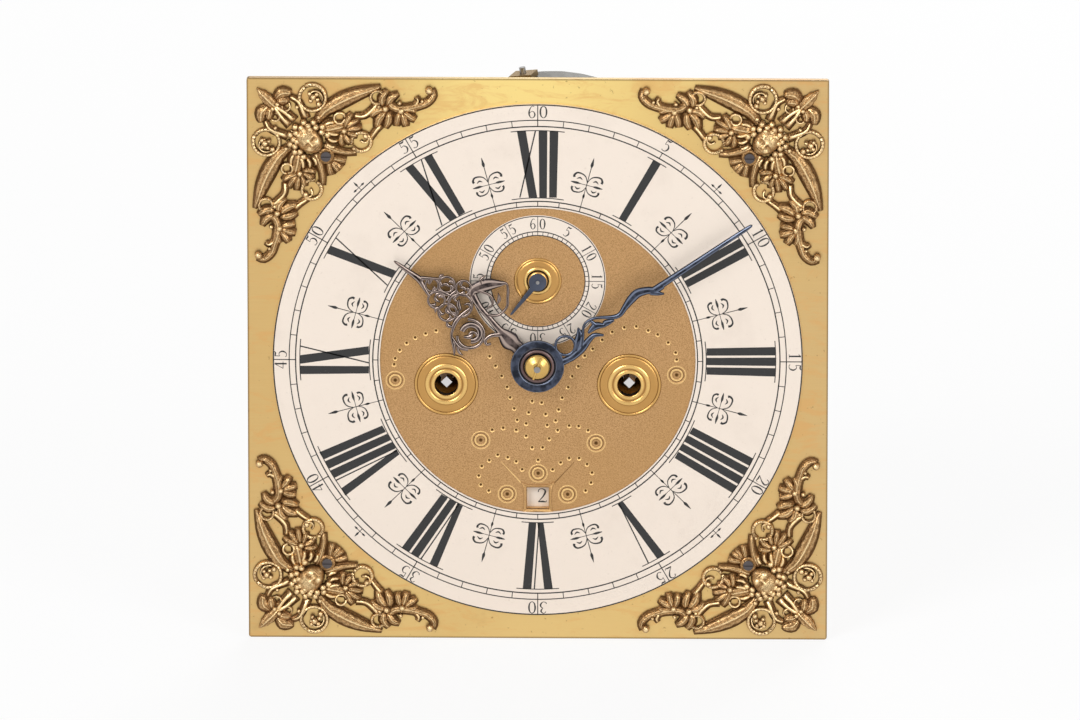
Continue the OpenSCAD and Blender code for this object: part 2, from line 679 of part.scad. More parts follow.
roller_r = 3.2;
module date_rollers()
    color(brass) for (a = [90, 210, 330]) on(pol(date_ring_r + roller_r + 0.2, a))
        spin(dial_back + date_ring_t + 2) polygon([[0, 0], [roller_r + 1.8, 0], [roller_r + 1.8, 1],
            [roller_r, 1.2],
            [roller_r, date_ring_t + 1.9], [0, date_ring_t + 1.9]]);

module date_ring()
    color(silver) on(C) slab(dial_back + 0.3, dial_back + 0.3 + date_ring_t) difference() {
        circle(date_ring_r, $fn = 128);
        polygon([for (i = [0:ring_teeth - 1]) for (p = [[date_ring_inner_r + 3, 0],
            [date_ring_inner_r, 0.6],
            [date_ring_inner_r, 2.2], [date_ring_inner_r + 3, 7]]) pol(p[0],
                360 / ring_teeth * i + p[1])]);
    }

finger_pin_r = 0.8;
finger_a = 200;
// The finger passes just short of the ring's teeth
finger_r = date_ring_inner_r - 0.4 - finger_pin_r - norm(D);
module date_wheel()
    color(brass) on(D) difference() {
        union() {
            slab(date_y, date_y + date_t) rotate(mesh(0, date_q, date_n, -90)) difference() {
                even_wheel(date_n, date_m, date_q);
                crossings(date_n * date_m / 2 - 3.2, 5, 4, 3);
            }
            slab(date_y - 1.2, date_y + 0.2) {
                circle(4, $fn = 48);
                rotate(finger_a) translate([0, -1.1]) square([finger_r, 2.2]);
                translate(pol(finger_r, finger_a)) circle(1.4, $fn = 32);
            }
            translate([finger_r * cos(finger_a), 0, finger_r * sin(finger_a)])
                rod(dial_back + 0.5, date_y - 1, finger_pin_r);
        }
        rod(date_y - 2, date_y + date_t + 1, 1.5 + fit_gap);
    }

// Motion work

// Bridge that carries the hour pipe and the minute arbor
module hour_bridge()
    color(brass) on(C) difference() {
        union() {
            slab(bridge_y, bridge_y + bridge_t) union() {
                hull() for (p = bridge_feet) translate(p) circle(4, $fn = 48);
                hull() {
                    circle(6, $fn = 48);
                    translate(M) circle(3, $fn = 48);
                }
            }
            for (p = bridge_feet) translate([p[0], 0, p[1]]) rod(bridge_y + bridge_t, front_out, 3.6);
            rod(date_y - 5, bridge_y + bridge_t, bridge_pipe_r);
        }
        rod(date_y - 6, bridge_y + bridge_t + 1, bridge_bore_r);
        for (p = bridge_feet) translate([p[0], 0, p[1]]) rod(bridge_y - 1, front_out + 1, screw_r);
        translate([M[0], 0, M[1]]) rod(bridge_y - 1, bridge_y + bridge_t + 1, minute_pivot_r + fit_gap);
    }

minute_pivot_r = 0.8;
module minute_wheel()
    color(brass) on(M) {
        slab(cannon_y, cannon_y + cannon_t) rotate(mesh(0, cannon_n, cannon_n, dir(C, M))) difference() {
            even_wheel(cannon_n, cannon_m, cannon_n);
            crossings(cannon_n * cannon_m / 2 - 3, 3.2, 4, 2.6);
        }
        rod(cannon_y + cannon_t - 0.1, front_out - 0.1, 1.6);
        rod(front_out - 0.2, front_in, minute_pivot_r);
        rod(bridge_y - 0.3, cannon_y + 0.1, minute_pivot_r);
        slab(hour_y - 0.5, bridge_y - 0.25) rotate(mesh(0, hour_n, minute_q,
            dir(C, M))) pinion(minute_q, hour_m, hour_n);
        // Pin that lifts the strike once an hour
        translate([lift_pin_r * cos(lift_pin_a), 0, lift_pin_r * sin(lift_pin_a)])
            rod(cannon_y + cannon_t - 0.1, lever_y, 0.8);
    }
lift_pin_r = 10;
lift_pin_a = 240;

module hour_wheel()
    color(brass) on(C) {
        slab(hour_y, hour_y + hour_t) difference() {
            polygon(wheel_points(hour_n, hour_m, minute_q, wheel_tooth, wheel_cut,
                root_of(hour_n, hour_m)));
            crossings(root_of(hour_n, hour_m) - 2.4, 8, 4, 4);
            circle(hour_bore_r, $fn = 64);
        }
        slab(date_y + 0.3, date_y + date_t) difference() {
            even_wheel(date_q, date_m, date_n);
            circle(hour_bore_r, $fn = 64);
        }
        difference() {
            union() {
                rod(hour_hand_y + 0.05, hour_y + 0.1, hour_pipe_r);
                rod(hour_hand_y - hand_t, hour_hand_y + 0.1, hour_seat_r);
            }
            rod(hour_hand_y - hand_t - 1, hour_y + 1, hour_bore_r);
        }
    }

module cannon_wheel()
    color(brass) on(C) {
        slab(cannon_y, cannon_y + cannon_t) difference() {
            even_wheel(cannon_n, cannon_m, cannon_n);
            circle(cannon_bore_r, $fn = 48);
        }
        difference() {
            union() {
                rod(minute_hand_y, cannon_y + 0.1, cannon_pipe_r);
                slab(minute_hand_y - hand_t, minute_hand_y + 0.1)
                    rotate(-minute_angle) square(cannon_square, center = true);
            }
            rod(minute_hand_y - hand_t - 1, cannon_y + 1, cannon_bore_r);
        }
    }

// Bowed spring that grips the cannon wheel on the centre arbor
module hand_spring()
    color(brass) on(C) difference() {
        translate([0, cannon_y + cannon_t, 0]) rotate([0, 90, 0]) translate([0, 0, -3])
            linear_extrude(6) difference() {
                intersection() {
                    translate([0, -14.2]) circle(16.4, $fn = 96);
                    translate([-7.5, 0]) square([15, 3]);
                }
                translate([0, -14.2]) circle(15.6, $fn = 96);
            }
        rod(front_out - 5, front_out + 5, centre_front_r + fit_gap);
    }

// Hands

minute_angle = shown_minutes * 6;
// Soft inner corners where the bands of a hand run together
soft = 0.12;
module blended() offset(delta = -soft) offset(delta = soft) union() children();
module hand_plate(y, angle) slab(y - hand_t, y) rotate(-angle) children();

module minute_hand()
    color(blued) on(C) {
        tip = minute_hand_len;
        hand_plate(minute_hand_y, minute_angle) difference() {
            blended() {
                circle(minute_boss_r, $fn = 72);
                hoop2d([-0.9, 15.4], 4.3, 1.3);
                band([[4.4, 9.5, 3.4], [5, 13, 3], [5.1, 16, 3.2], [4.3, 20.9, 3.4], [2.7, 25.7, 2.6],
                    [2.4, 28.8, 2],
                    [4.6, 32, 0.9]]);
                band([[3.6, 18, 2.4], [1, 21, 4], [-1.6, 23.4, 3], [-4.4, 24.6, 0.7]]);
                band([[0.6, 20.6, 2], [-0.6, 23.4, 2], [-1.6, 25.6, 0.7]]);
                band([[3.8, 21, 1.6], [0, 24, 1.5], [-3.9, 27.5, 1.1], [-4.4, 31.6, 1.2], [-2.4, 36, 1.3],
                    [0.1, 39.8, 2], [0.9, 43.1, 2.2], [-0.6, 47, 2.8], [-2, 51, 3.8], [-2.7, 55, 4],
                        [-1.4, 59, 3.4],
                    [0.4, 62, 3.2], [0.5, 66, 3]]);
                band([[0, 27, 1], [-0.8, 31.3, 3.4], [0.9, 34.6, 2], [0.7, 36, 3], [1.6, 39.6, 0.9]]);
                band([[-4.2, 31, 1], [-1.4, 31.6, 2]]);
                band([[0, 60, 3], [2.4, 62.4, 2], [4, 64.4, 0.6]]);
                polygon([[-1.5, 62], [1.7, 62], [0.9, tip - 2], [0, tip], [-0.9, tip - 2]]);
            }
            square(cannon_square + 0.1, center = true);
        }
    }

module hand_collet() {
    color(brass) on(C) difference() {
        spin(collet_y) polygon([[cannon_bore_r + 0.05, 0], [collet_r, 0], [collet_r, 0.8],
            [collet_r - 0.5, 1.5],
            [collet_r - 1.6, 2.3], [cannon_bore_r + 1.2, collet_h], [cannon_bore_r + 0.05, collet_h]]);
    }
    color(steel) on(C) translate([0, hand_pin_y, 0]) rotate([0, hand_pin_a, 0])
        cylinder(h = 10, r = hand_pin_r, center = true, $fn = 24);
}

module hour_hand()
    color(steel) on(C) {
        tip = hour_hand_len;
        hand_plate(hour_hand_y, hour_hand_angle) difference() {
            blended() {
                circle(9.5, $fn = 72);
                band([[0, 8, 6], [0.6, 12, 4.6], [0.9, 15.7, 7], [1.6, 19.4, 5], [2.2, 22, 3.2],
                    [2.9, 25, 2.8],
                    [4, 29, 2.6], [5.2, 34.2, 2.8], [6.6, 38, 3.2], [8, 41, 3.6]]);
                // Large scroll on the left with its curled leaf and tail
                scroll([-7.6, 31.6], 7.2, 5.2, 40, -230, 1.5, 1.3);
                scroll([-6.4, 31], 4.4, 3.2, 110, -150, 3, 1.2);
                band([[2.6, 38.4, 1.4], [-2, 39.6, 1.6], [-6.4, 39.8, 2], [-10, 38.8, 1.6],
                    [-12.6, 37.4, 1.4],
                    [-15.4, 34.2, 1.6], [-17.4, 32.4, 1.2], [-19, 31.3, 0.5]]);
                band([[-12.9, 37, 1.2], [-14.6, 31.6, 1.4], [-13.2, 28, 1.4]]);
                // Small scroll by the stem
                band([[1.4, 20, 2.2], [-1.9, 23.6, 1.8], [-5.2, 24.5, 1.6], [-6.4, 22.8, 1.2],
                    [-5, 21.6, 1]]);
                // Loop and thick leaf on the right
                band([[7.6, 41.4, 2], [10.2, 42.1, 3.6], [15.5, 38.7, 4.4], [19.2, 34.6, 2.6],
                    [20.9, 32.1, 1],
                    [18.6, 29.6, 1.4], [16.1, 28, 1.4], [13.6, 26.2, 1.2], [10.9, 25.7, 1.2],
                        [7.8, 26.4, 1.2],
                    [5.9, 28.1, 1.3], [4.4, 31, 1.4]]);
                band([[10.6, 41.2, 1.4], [12, 37.6, 1.2], [12.2, 34, 1.2], [9.4, 31.4, 1], [7, 32.4, 1]]);
                // Middle ring and the chain of scrolls up both sides
                hoop2d([1, 42.6], 5.2, 1.3);
                hoop2d([-4.8, 45.3], 4, 1.2);
                hoop2d([8.2, 46.1], 3.3, 1.2);
                hoop2d([5.1, 53], 3.5, 1.2);
                hoop2d([-3.2, 52.4], 3.7, 1.2);
                band([[5.4, 48, 1.2], [2.4, 48.6, 1.6], [-0.6, 48.4, 1.6]]);
                band([[2, 49, 1.2], [1.4, 51.6, 2], [0.8, 54.6, 1.4]]);
                hoop2d([1.1, 58], 2.9, 1.1);
                band([[-3.6, 56, 1.2], [-2.4, 59, 1.5], [-0.4, 63.6, 2.4], [0, 67, 2.2]]);
                band([[5.6, 56.4, 1.2], [3.6, 59.6, 1.3], [0.8, 63.6, 2]]);
                polygon([[-1.3, 62.6], [1.3, 62.6], [0.6, tip - 2], [0, tip], [-0.6, tip - 2]]);
            }
            circle(hour_seat_r + 0.05, $fn = 64);
            translate([0.9, 15.7]) circle(0.8, $fn = 24);
        }
    }

seconds_hand_y = dial_front - seconds_t - 1.6;
seconds_pipe_r = 1.7;
module seconds_hand()
    color(blued) on(E) difference() {
        union() {
            slab(seconds_hand_y - 1, seconds_hand_y) rotate(-seconds_hand_angle) union() {
                circle(3.9, $fn = 48);
                polygon([[-1.2, 3], [1.2, 3], [0.5, seconds_hand_len - 1], [0, seconds_hand_len],
                    [-0.5, seconds_hand_len - 1]]);
            }
            rod(seconds_hand_y - 0.5, dial_back, seconds_pipe_r);
        }
        rod(seconds_hand_y - 2, dial_back + 1, escape_front_r - 0.1 + fit_gap);
    }

// Going train

module great_wheel(p, n, m, q, start, click_a)
    on(p) {
        slab(great_y, great_y + great_t) rotate(start)
            crossed_wheel(n, m, q, 15, great_arbor_r + fit_gap, 4, 9, 3);
        // Click stud and click spring on the front face
        rotate([0, -click_a, 0]) {
            translate([click_stud_r, 0, 0]) rod(ratchet_y + 0.1, great_y + 0.2, click_stud_pin_r);
            slab(great_y - 1.6, great_y + 0.1) band([[28.6, -1.5, 3], [28.2, 3.5, 1.3],
                [25.6, 7.6, 1], [21.6, 9.8, 0.8]]);
        }
    }
click_stud_r = 20.5;
click_stud_pin_r = 1.4;
ratchet_r = 14.2;
ratchet_root_r = 12.4;
click_lead = 46;

// Ratchet with radial faces that look clockwise
module ratchet2d()
    polygon([for (i = [0:ratchet_teeth - 1]) for (p = [[ratchet_root_r, 0], [ratchet_r, 0.4]])
        pol(p[0], 360 / ratchet_teeth * i + p[1])]);

// Click in the great wheel's frame, its stud at angle a and its beak against the tooth at a + click_lead
module click2d() {
    beak = click_lead;
    difference() {
        polygon([pol(ratchet_root_r + 0.5, beak - 1.2), pol(ratchet_r + 1.6, beak - 1.5),
            pol(click_stud_r - 1, beak - 18), pol(click_stud_r + 2.2, 8), pol(click_stud_r + 2.6, 0),
            pol(click_stud_r + 2.2, -6), pol(click_stud_r, -8), pol(click_stud_r - 2.2, -6),
            pol(click_stud_r - 2.6, 2), pol(ratchet_r + 2.2, beak - 22),
                pol(ratchet_root_r + 1.9, beak - 9)]);
        translate([click_stud_r, 0]) circle(click_stud_pin_r + fit_gap, $fn = 32);
    }
}
module click(p, a)
    color(steel) on(p) slab(ratchet_y + 0.1, ratchet_y + ratchet_t - 0.1) rotate(a) click2d();

// Drum grooved for the gut, open inside, with the ratchet on its back end
module barrel(p, click_a)
    color(brass) on(p) {
        lip = 1.6;
        groove = (barrel_len - 2 * lip) / barrel_turns;
        difference() {
            spin(barrel_y + barrel_len) polygon(concat([[great_arbor_r, 0], [barrel_r, 0],
                [barrel_r, lip - 0.3]],
                [for (i = [0:barrel_turns - 1]) for (f = [[0.12, -0.6], [0.5, -1.3], [0.88, -0.6]])
                    [barrel_r + f[1], lip + groove * (i + f[0])]],
                [[barrel_r, barrel_len - lip + 0.3], [barrel_r, barrel_len], [great_arbor_r, barrel_len],
                [great_arbor_r, barrel_len - 3], [barrel_r - 3.5, barrel_len - 3], [barrel_r - 3.5, 3],
                [great_arbor_r, 3]]));
        }
        difference() {
            rod(barrel_y + barrel_len - 0.1, ratchet_y + 0.1, 11);
            rod(barrel_y + barrel_len - 1, ratchet_y + 1, great_arbor_r);
        }
        slab(ratchet_y, ratchet_y + ratchet_t) difference() {
            rotate(click_a + click_lead) ratchet2d();
            circle(great_arbor_r, $fn = 64);
        }
    }

module winding_arbor(p)
    color(steel) on(p) {
        rod(front_in + shoulder_gap, great_y + great_t + 3.2, great_arbor_r);
        rod(front_out - 8, front_in + shoulder_gap + 0.1, great_front_r);
        slab(dial_back - 0.3, front_out - 7.9) rotate(45) square(winding_square, center = true);
        // Key plate that keeps the great wheel on the arbor
        rod(great_y + great_t + 0.1, great_y + great_t + 1.6, 10);
        rod(great_y + great_t + 3, back_in - shoulder_gap, 4);
        rod(back_in - shoulder_gap - 0.1, back_out, great_rear_r);
    }

going_start = 0;
going_click_a = 90;
strike_click_a = 90;
module going_great_wheel() color(brass) great_wheel(G, great_n, great_m, centre_q, going_start,
    going_click_a);
module going_click() click(G, going_click_a);
module going_barrel() barrel(G, going_click_a);
module going_arbor() winding_arbor(G);

module centre_arbor()
    color(steel) on(C) {
        difference() {
            union() {
                rod(front_out - 0.7, great_y - 1.9, centre_arbor_r);
                rod(hand_pin_y - 1.6, front_out, centre_front_r);
            }
            translate([0, hand_pin_y, 0]) rotate([0, hand_pin_a, 0])
                cylinder(h = 6, r = hand_pin_r + 0.02, center = true, $fn = 24);
        }
        slab(great_y - 2, great_y + great_t + 2) rotate(mesh(going_start, great_n, centre_q, dir(G, C)))
            pinion(centre_q, great_m, great_n);
        rod(great_y + great_t + 1.9, back_in - shoulder_gap, 1.7);
        rod(back_in - shoulder_gap - 0.1, back_out, pivot_r);
        rod(centre_y + wheel_t, centre_y + wheel_t + 3, 5);
    }

module centre_wheel()
    color(brass) on(C) slab(centre_y, centre_y + wheel_t)
        crossed_wheel(centre_n, centre_m, third_q, 6, centre_arbor_r, 4, 4, 2);

module third_arbor()
    color(steel) {
        on(T) {
            rod(front_out, front_in + shoulder_gap + 0.1, pivot_r);
            rod(front_in + shoulder_gap, centre_y - 1.9, 1.5);
            slab(centre_y - 2, centre_y + wheel_t + 2) rotate(mesh(0, centre_n, third_q, dir(C, T)))
                pinion(third_q, centre_m, centre_n);
            rod(centre_y + wheel_t + 1.9, back_in - shoulder_gap, arbor_r);
            rod(back_in - shoulder_gap - 0.1, back_out, pivot_r);
            rod(third_y + wheel_t, third_y + wheel_t + 1.6, 3.2);
        }
    }
module third_wheel()
    color(brass) on(T) slab(third_y, third_y + wheel_t)
        crossed_wheel(third_n, third_m, escape_q, 4, arbor_r, 4, 3, 1.6);

escape_front_r = 0.9;
module escape_arbor()
    color(steel) on(E) {
        rod(seconds_hand_y - 1.1, front_in + shoulder_gap + 0.1, escape_front_r - 0.1);
        rod(front_in + shoulder_gap, third_y - 2.4, 1.4);
        slab(third_y - 2.5, third_y + wheel_t + 2) rotate(mesh(0, third_n, escape_q, dir(T, E)))
            pinion(escape_q, third_m, third_n);
        rod(third_y + wheel_t + 1.9, back_in - shoulder_gap, 1.1);
        rod(back_in - shoulder_gap - 0.1, back_out, pivot_r);
        rod(escape_y + wheel_t, escape_y + wheel_t + 2, 3.2);
    }

module escape_wheel()
    color(brass) on(E) slab(escape_y, escape_y + wheel_t) difference() {
        polygon([for (i = [0:escape_n - 1]) for (p = [[escape_r - 3.4, 0.6], [escape_r - 1.6, -0.6],
            [escape_r, -1.6],
            [escape_r, -2.2], [escape_r - 2, -4.6], [escape_r - 3.4, -8]]) pol(p[0],
                -360 / escape_n * i + p[1])]);
        crossings(escape_r - 5, 4, 4, 2.6);
        circle(1.4, $fn = 48);
    }

// Anchor escapement

module anchor()
    color(steel) on(A) slab(escape_y - 1, escape_y + wheel_t + 1) difference() {
        union() {
            circle(3.4, $fn = 48);
            blended() for (s = [0, 1]) mirror([s, 0]) band([[-1, 0.6, 4.4], [5, 0.4, 3.6], [10, -2.4, 3],
                [13.6, -7, 2.4], [13.8, -9.6, 1.8], [13.3, -11, 1]]);
        }
        circle(arbor_r, $fn = 48);
    }

module pallet_arbor()
    color(steel) on(A) {
        rod(front_in + shoulder_gap, cock_y - shoulder_gap, arbor_r);
        rod(front_out, front_in + shoulder_gap + 0.1, pivot_r);
        rod(cock_y - shoulder_gap - 0.1, cock_y + cock_t, pivot_r);
    }

crutch_len = 78;
module crutch()
    color(steel) on(A) {
        slab(back_out + 3, back_out + 5) difference() {
            union() {
                circle(4, $fn = 48);
                band([[0, -2, 4], [0, -20, 2.6], [0, -crutch_len / 2, 2.6], [0, -crutch_len, 4]], 1);
            }
            circle(arbor_r, $fn = 48);
        }
        // Fork that embraces the pendulum rod
        for (s = [-1, 1]) box([s * 2.9 - 1.1, s * 2.9 + 1.1], [back_out + 3, back_out + 18],
            [-crutch_len - 2, -crutch_len + 3]);
        box([-4, 4], [back_out + 3, back_out + 5], [-crutch_len - 2, -crutch_len + 3]);
    }

// Cock that carries the back end of the pallet arbor and the slit block of the pendulum's suspension
module back_cock()
    color(brass) difference() {
        union() {
            on(C) slab(cock_y, cock_y + cock_t) {
                hull() for (p = [cock_left, cock_right]) translate(p) circle(5.4, $fn = 48);
                translate(A) circle(7, $fn = 48);
            }
            for (p = [cock_left, cock_right]) on(p) rod(back_out, cock_y + 0.1, 4.8);
            on(A) box([-5, 5], [cock_y + cock_t - 0.1, cock_y + cock_t + 9], [-1, 6.5]);
        }
        for (p = [cock_left, cock_right]) on(p) rod(back_out - 1, cock_y + cock_t + 1, screw_r);
        on(A) rod(cock_y - 1, cock_y + cock_t + 0.3, pivot_r + fit_gap);
        on(A) box([-0.4, 0.4], [cock_y + cock_t + 1, cock_y + cock_t + 10], [-2, 7.5]);
    }

// Strike train

strike_start = 0;
module strike_great_wheel() color(brass) great_wheel(S, strike_n, strike_m, pin_q, strike_start,
    strike_click_a);
module strike_click() click(S, strike_click_a);
module strike_barrel() barrel(S, strike_click_a);
module strike_arbor() winding_arbor(S);

report_arbor_r = 1.1;
count_y = back_out + 2;
module pin_arbor()
    color(steel) on(P) {
        rod(front_out, front_in + shoulder_gap + 0.1, pivot_r);
        rod(front_in + shoulder_gap, great_y - 1.9, 1.8);
        slab(great_y - 2, great_y + great_t + 2) rotate(mesh(strike_start, strike_n, pin_q, dir(S, P)))
            pinion(pin_q, strike_m, strike_n);
        rod(great_y + great_t + 1.9, back_in - shoulder_gap, 1.9);
        rod(back_in - shoulder_gap - 0.1, count_y, report_arbor_r);
        // Pinion of report for the count wheel
        slab(count_y - 0.5, count_y + 1.7) rotate(mesh(0, count_n, report_q,
            dir(Q, P))) pinion(report_q, count_m, count_n);
    }

pins_r = 17;
lift_pins = 8;
module pin_wheel()
    color(brass) {
        on(P) slab(pin_y, pin_y + wheel_t) rotate(10)
            crossed_wheel(pin_n, pin_m, hoop_q, 4.4, 1.8, 4, 3.4, 3);
        for (i = [0:lift_pins - 1]) on(P + pol(pins_r, 10 + 360 / lift_pins * i))
            rod(front_in + 0.8, pin_y + wheel_t, 0.9);
    }

module hoop_arbor()
    color(steel) on(H) {
        rod(front_out, front_in + shoulder_gap + 0.1, pivot_r);
        rod(front_in + shoulder_gap, pin_y - 1.9, 1.1);
        slab(pin_y - 2, pin_y + wheel_t + 2) rotate(mesh(10, pin_n, hoop_q, dir(P, H))) pinion(hoop_q,
            pin_m, pin_n);
        rod(pin_y + wheel_t + 1.9, back_in - shoulder_gap, arbor_r);
        rod(back_in - shoulder_gap - 0.1, back_out, pivot_r);
    }

hoop_r = 9;
gap_angle = 135;
module hoop_wheel()
    color(brass) on(H) {
        slab(hoop_y, hoop_y + wheel_t) crossed_wheel(hoop_n, hoop_m, warning_q, 4, arbor_r, 4, 3,
            1.6 + 1);
        // Locking hoop with its gap
        slab(hoop_y + wheel_t - 0.1, hoop_y + wheel_t + hoop_t) difference() {
            circle(hoop_r, $fn = 72);
            circle(hoop_r - 1.4, $fn = 72);
            polygon([[0, 0], pol(hoop_r + 3, gap_angle - 24), pol(hoop_r + 3, gap_angle + 24)]);
        }
        // Ring that joins the hoop to the wheel's arms
        slab(hoop_y + wheel_t - 0.1, hoop_y + wheel_t + 0.5) difference() {
            circle(hoop_r, $fn = 72);
            circle(hoop_r - 1.4, $fn = 72);
        }
    }

module warning_arbor()
    color(steel) on(W) {
        rod(front_out, front_in + shoulder_gap + 0.1, pivot_r);
        rod(front_in + shoulder_gap, hoop_y - 1.7, 1.2);
        slab(hoop_y - 1.8, hoop_y + wheel_t + 1.6) rotate(mesh(0, hoop_n, warning_q, dir(H, W)))
            pinion(warning_q, hoop_m, hoop_n);
        rod(hoop_y + wheel_t + 1.5, back_in - shoulder_gap, 1.2);
        rod(back_in - shoulder_gap - 0.1, back_out, pivot_r);
    }

warning_r = 10.6;
warning_tongue = [12.6, -2.2];
module warning_wheel()
    color(brass) {
        on(W) slab(warning_y, warning_y + wheel_t)
            crossed_wheel(warning_n, warning_m, fly_q, 3.6, 1.2, 4, 2.6, 1.6);
        on(W + pol(warning_r, 180)) rod(pin_y + wheel_t + 0.3, warning_y + 0.1, 0.7);
    }

fly_y = escape_y + 6;
fly_len = 20;
fly_r = 9.5;
module fly_arbor()
    color(steel) on(F) {
        rod(front_out, front_in + shoulder_gap + 0.1, pivot_r);
        rod(front_in + shoulder_gap, warning_y - 1.4, 1);
        slab(warning_y - 1.5, warning_y + wheel_t + 1.5) rotate(mesh(0, warning_n, fly_q, dir(W, F)))
            pinion(fly_q, warning_m, warning_n);
        rod(warning_y + wheel_t + 1.4, back_in - shoulder_gap, 1);
        rod(back_in - shoulder_gap - 0.1, back_out, pivot_r);
    }
module fly()
    color(brass) on(F) difference() {
        union() {
            rod(fly_y, fly_y + fly_len, 2.2);
            box([-0.5, 0.5], [fly_y + 1, fly_y + fly_len - 1], [-fly_r, fly_r]);
        }
        rod(fly_y - 1, fly_y + fly_len + 1, 1);
    }

// Count wheel behind the back plate: toothed wheel with a slotted disc on it
count_r = 24.2;
function blows_before(h) = h * (h - 1) / 2;
count_tangent = 51.2;
module count_wheel()
    color(brass) on(Q) {
        slab(count_y, count_y + 2) difference() {
            polygon(wheel_points(count_n, count_m, report_q, wheel_tooth, wheel_cut,
                root_of(count_n, count_m)));
            crossings(root_of(count_n, count_m) - 3, 6, 4, 4);
            circle(2 + fit_gap, $fn = 48);
        }
        slab(count_y + 1.9, count_y + 4) difference() {
            circle(count_r, $fn = 128);
            circle(count_r - 6.5, $fn = 128);
            for (h = [1:12]) rotate(count_tangent + 360 / count_n * blows_before(h))
                translate([count_r - 3, -1.3]) square([5, 2.6]);
        }
        difference() {
            rod(count_y + 1.9, count_y + 5, 4);
            rod(count_y + 1, count_y + 6, 2 + fit_gap);
        }
    }

// Levers of the strike

// Locking piece in the hoop and locking piece of the count wheel, on one arbor
module detent()
    color(steel) {
        arbor_y1 = count_y + 4.4;
        on(K) {
            rod(front_in + shoulder_gap, arbor_y1, arbor_r);
            rod(front_out, front_in + shoulder_gap + 0.1, pivot_r);
        }
        nib = H + pol(hoop_r + 0.75, gap_angle);
        on(C) slab(hoop_y + wheel_t + 0.7, hoop_y + wheel_t + hoop_t) difference() {
            union() {
                translate(K) circle(3.2, $fn = 32);
                band([[K[0], K[1], 3], [K[0] + 9, K[1] - 2, 2.4], [K[0] + 18, K[1] - 3, 2.2],
                    [K[0] + 24, K[1] - 1.4, 2.2], [nib[0], nib[1], 1]]);
            }
            translate(K) circle(arbor_r, $fn = 32);
        }
        tip = Q + pol(count_r + 0.7, count_tangent);
        on(C) slab(count_y + 2.3, count_y + 4) difference() {
            union() {
                translate(K) circle(3.2, $fn = 32);
                band([[K[0], K[1], 3], [K[0] + 13, K[1] - 3, 2.6], [K[0] + 25, K[1] - 8, 2.4],
                    [tip[0] + 1, tip[1] + 6, 2], [tip[0], tip[1], 1]]);
            }
            translate(K) circle(arbor_r, $fn = 32);
        }
    }

lift_tip = M + pol(12.6, 100);
module lifting_lever()
    color(steel) {
        on(C) slab(lever_y - lever_t, lever_y) difference() {
            union() {
                translate(L) circle(4, $fn = 48);
                band([[L[0], L[1], 5], [-33, 7, 3.6], [-27, 2, 3], [lift_tip[0], lift_tip[1], 2.2]]);
                band([[L[0], L[1], 5], [-35, 24, 3.6], [-29, 38, 3.2],
                    [W[0] + warning_tongue[0] - 1, W[1] - 1, 3.4]]);
            }
            translate(L) circle(1.6 + fit_gap, $fn = 48);
        }
        on(W + warning_tongue) box([-0.6, 0.8], [lever_y - lever_t, warning_y - 0.5], [-2, 2]);
    }

hole_at = [-7, 27, bell_hole_h];
hammer_y = hole_at[1];
hammer_head_x = 4.9;
// The head stops just short of the bell's left side
hammer_reach = hole_at[0] + bell_h * sin(bell_lean) - (bell_r - 0.8) * cos(bell_lean) - 1.6
    - N[0] - hammer_head_x;
hammer_drop = 37.2;
hammer_top = plate_top + bell_rise - hammer_drop;
tail_len = norm(P - N) - pins_r - 0.9 - 0.6;
module hammer()
    color(steel) {
        on(N) {
            rod(front_in + shoulder_gap, back_in - shoulder_gap, arbor_r + 0.3);
            rod(front_out, front_in + shoulder_gap + 0.1, pivot_r);
            rod(back_in - shoulder_gap - 0.1, back_out, pivot_r);
        }
        // Tail that the pins lift
        on(N) slab(front_in + 1, pin_y - 0.4) rotate(dir(N, P)) union() {
            circle(3.4, $fn = 32);
            polygon([[0, -3], [tail_len, -0.7], [tail_len, 0.7], [0, 3]]);
        }
        // Arm that bears on the hammer spring
        on(N) slab(back_in - 5, back_in - 2) polygon([[-2.4, 0], [-1.2, -12], [1.2, -12], [2.4, 0]]);
        // Rod and head
        on(N) rod(hammer_y - 3, hammer_y + 3, 3.6);
        translate([N[0], hammer_y, centre_h + N[1]]) cylinder(h = hammer_top - N[1], r = 1.3, $fn = 32);
        translate([N[0] - 3, hammer_y, centre_h + hammer_top]) rotate([0, 90, 0])
            cylinder(h = 8, r = 4.5, $fn = 48);
        translate([N[0] + hammer_head_x, hammer_y, centre_h + hammer_top]) rotate([0, 90, 0])
            cylinder(h = hammer_reach, r1 = 4.5, r2 = 3, $fn = 48);
    }

module hammer_spring()
    color(steel) on(spring_foot) {
        slab(back_in - 5, back_in - 2) polygon([[-1.6, -4], [1.6, -4], [1.6, 2], [0.6, 10],
            [-0.5, 22], [-1.2, 23],
            [-1.4, 22], [-0.8, 10], [-1.6, 2]]);
        rod(back_in - 5, back_in - shoulder_gap, 2.4);
        rod(back_in - shoulder_gap - 0.1, back_out, pivot_r);
    }

// Bell

crown_r = 71;
stud_r = 1.4;
nut_t = 2.5;
nut_size = [10.4, 8.4, nut_t];
stud_foot = 8.5;
stud_end = 2.7;
stand_foot = centre_h + 40;
stand_top = bell_hole_h - 32.2;
arm_depth = 6;
module at_bell() translate(hole_at) rotate([0, -bell_lean, 0]) children();
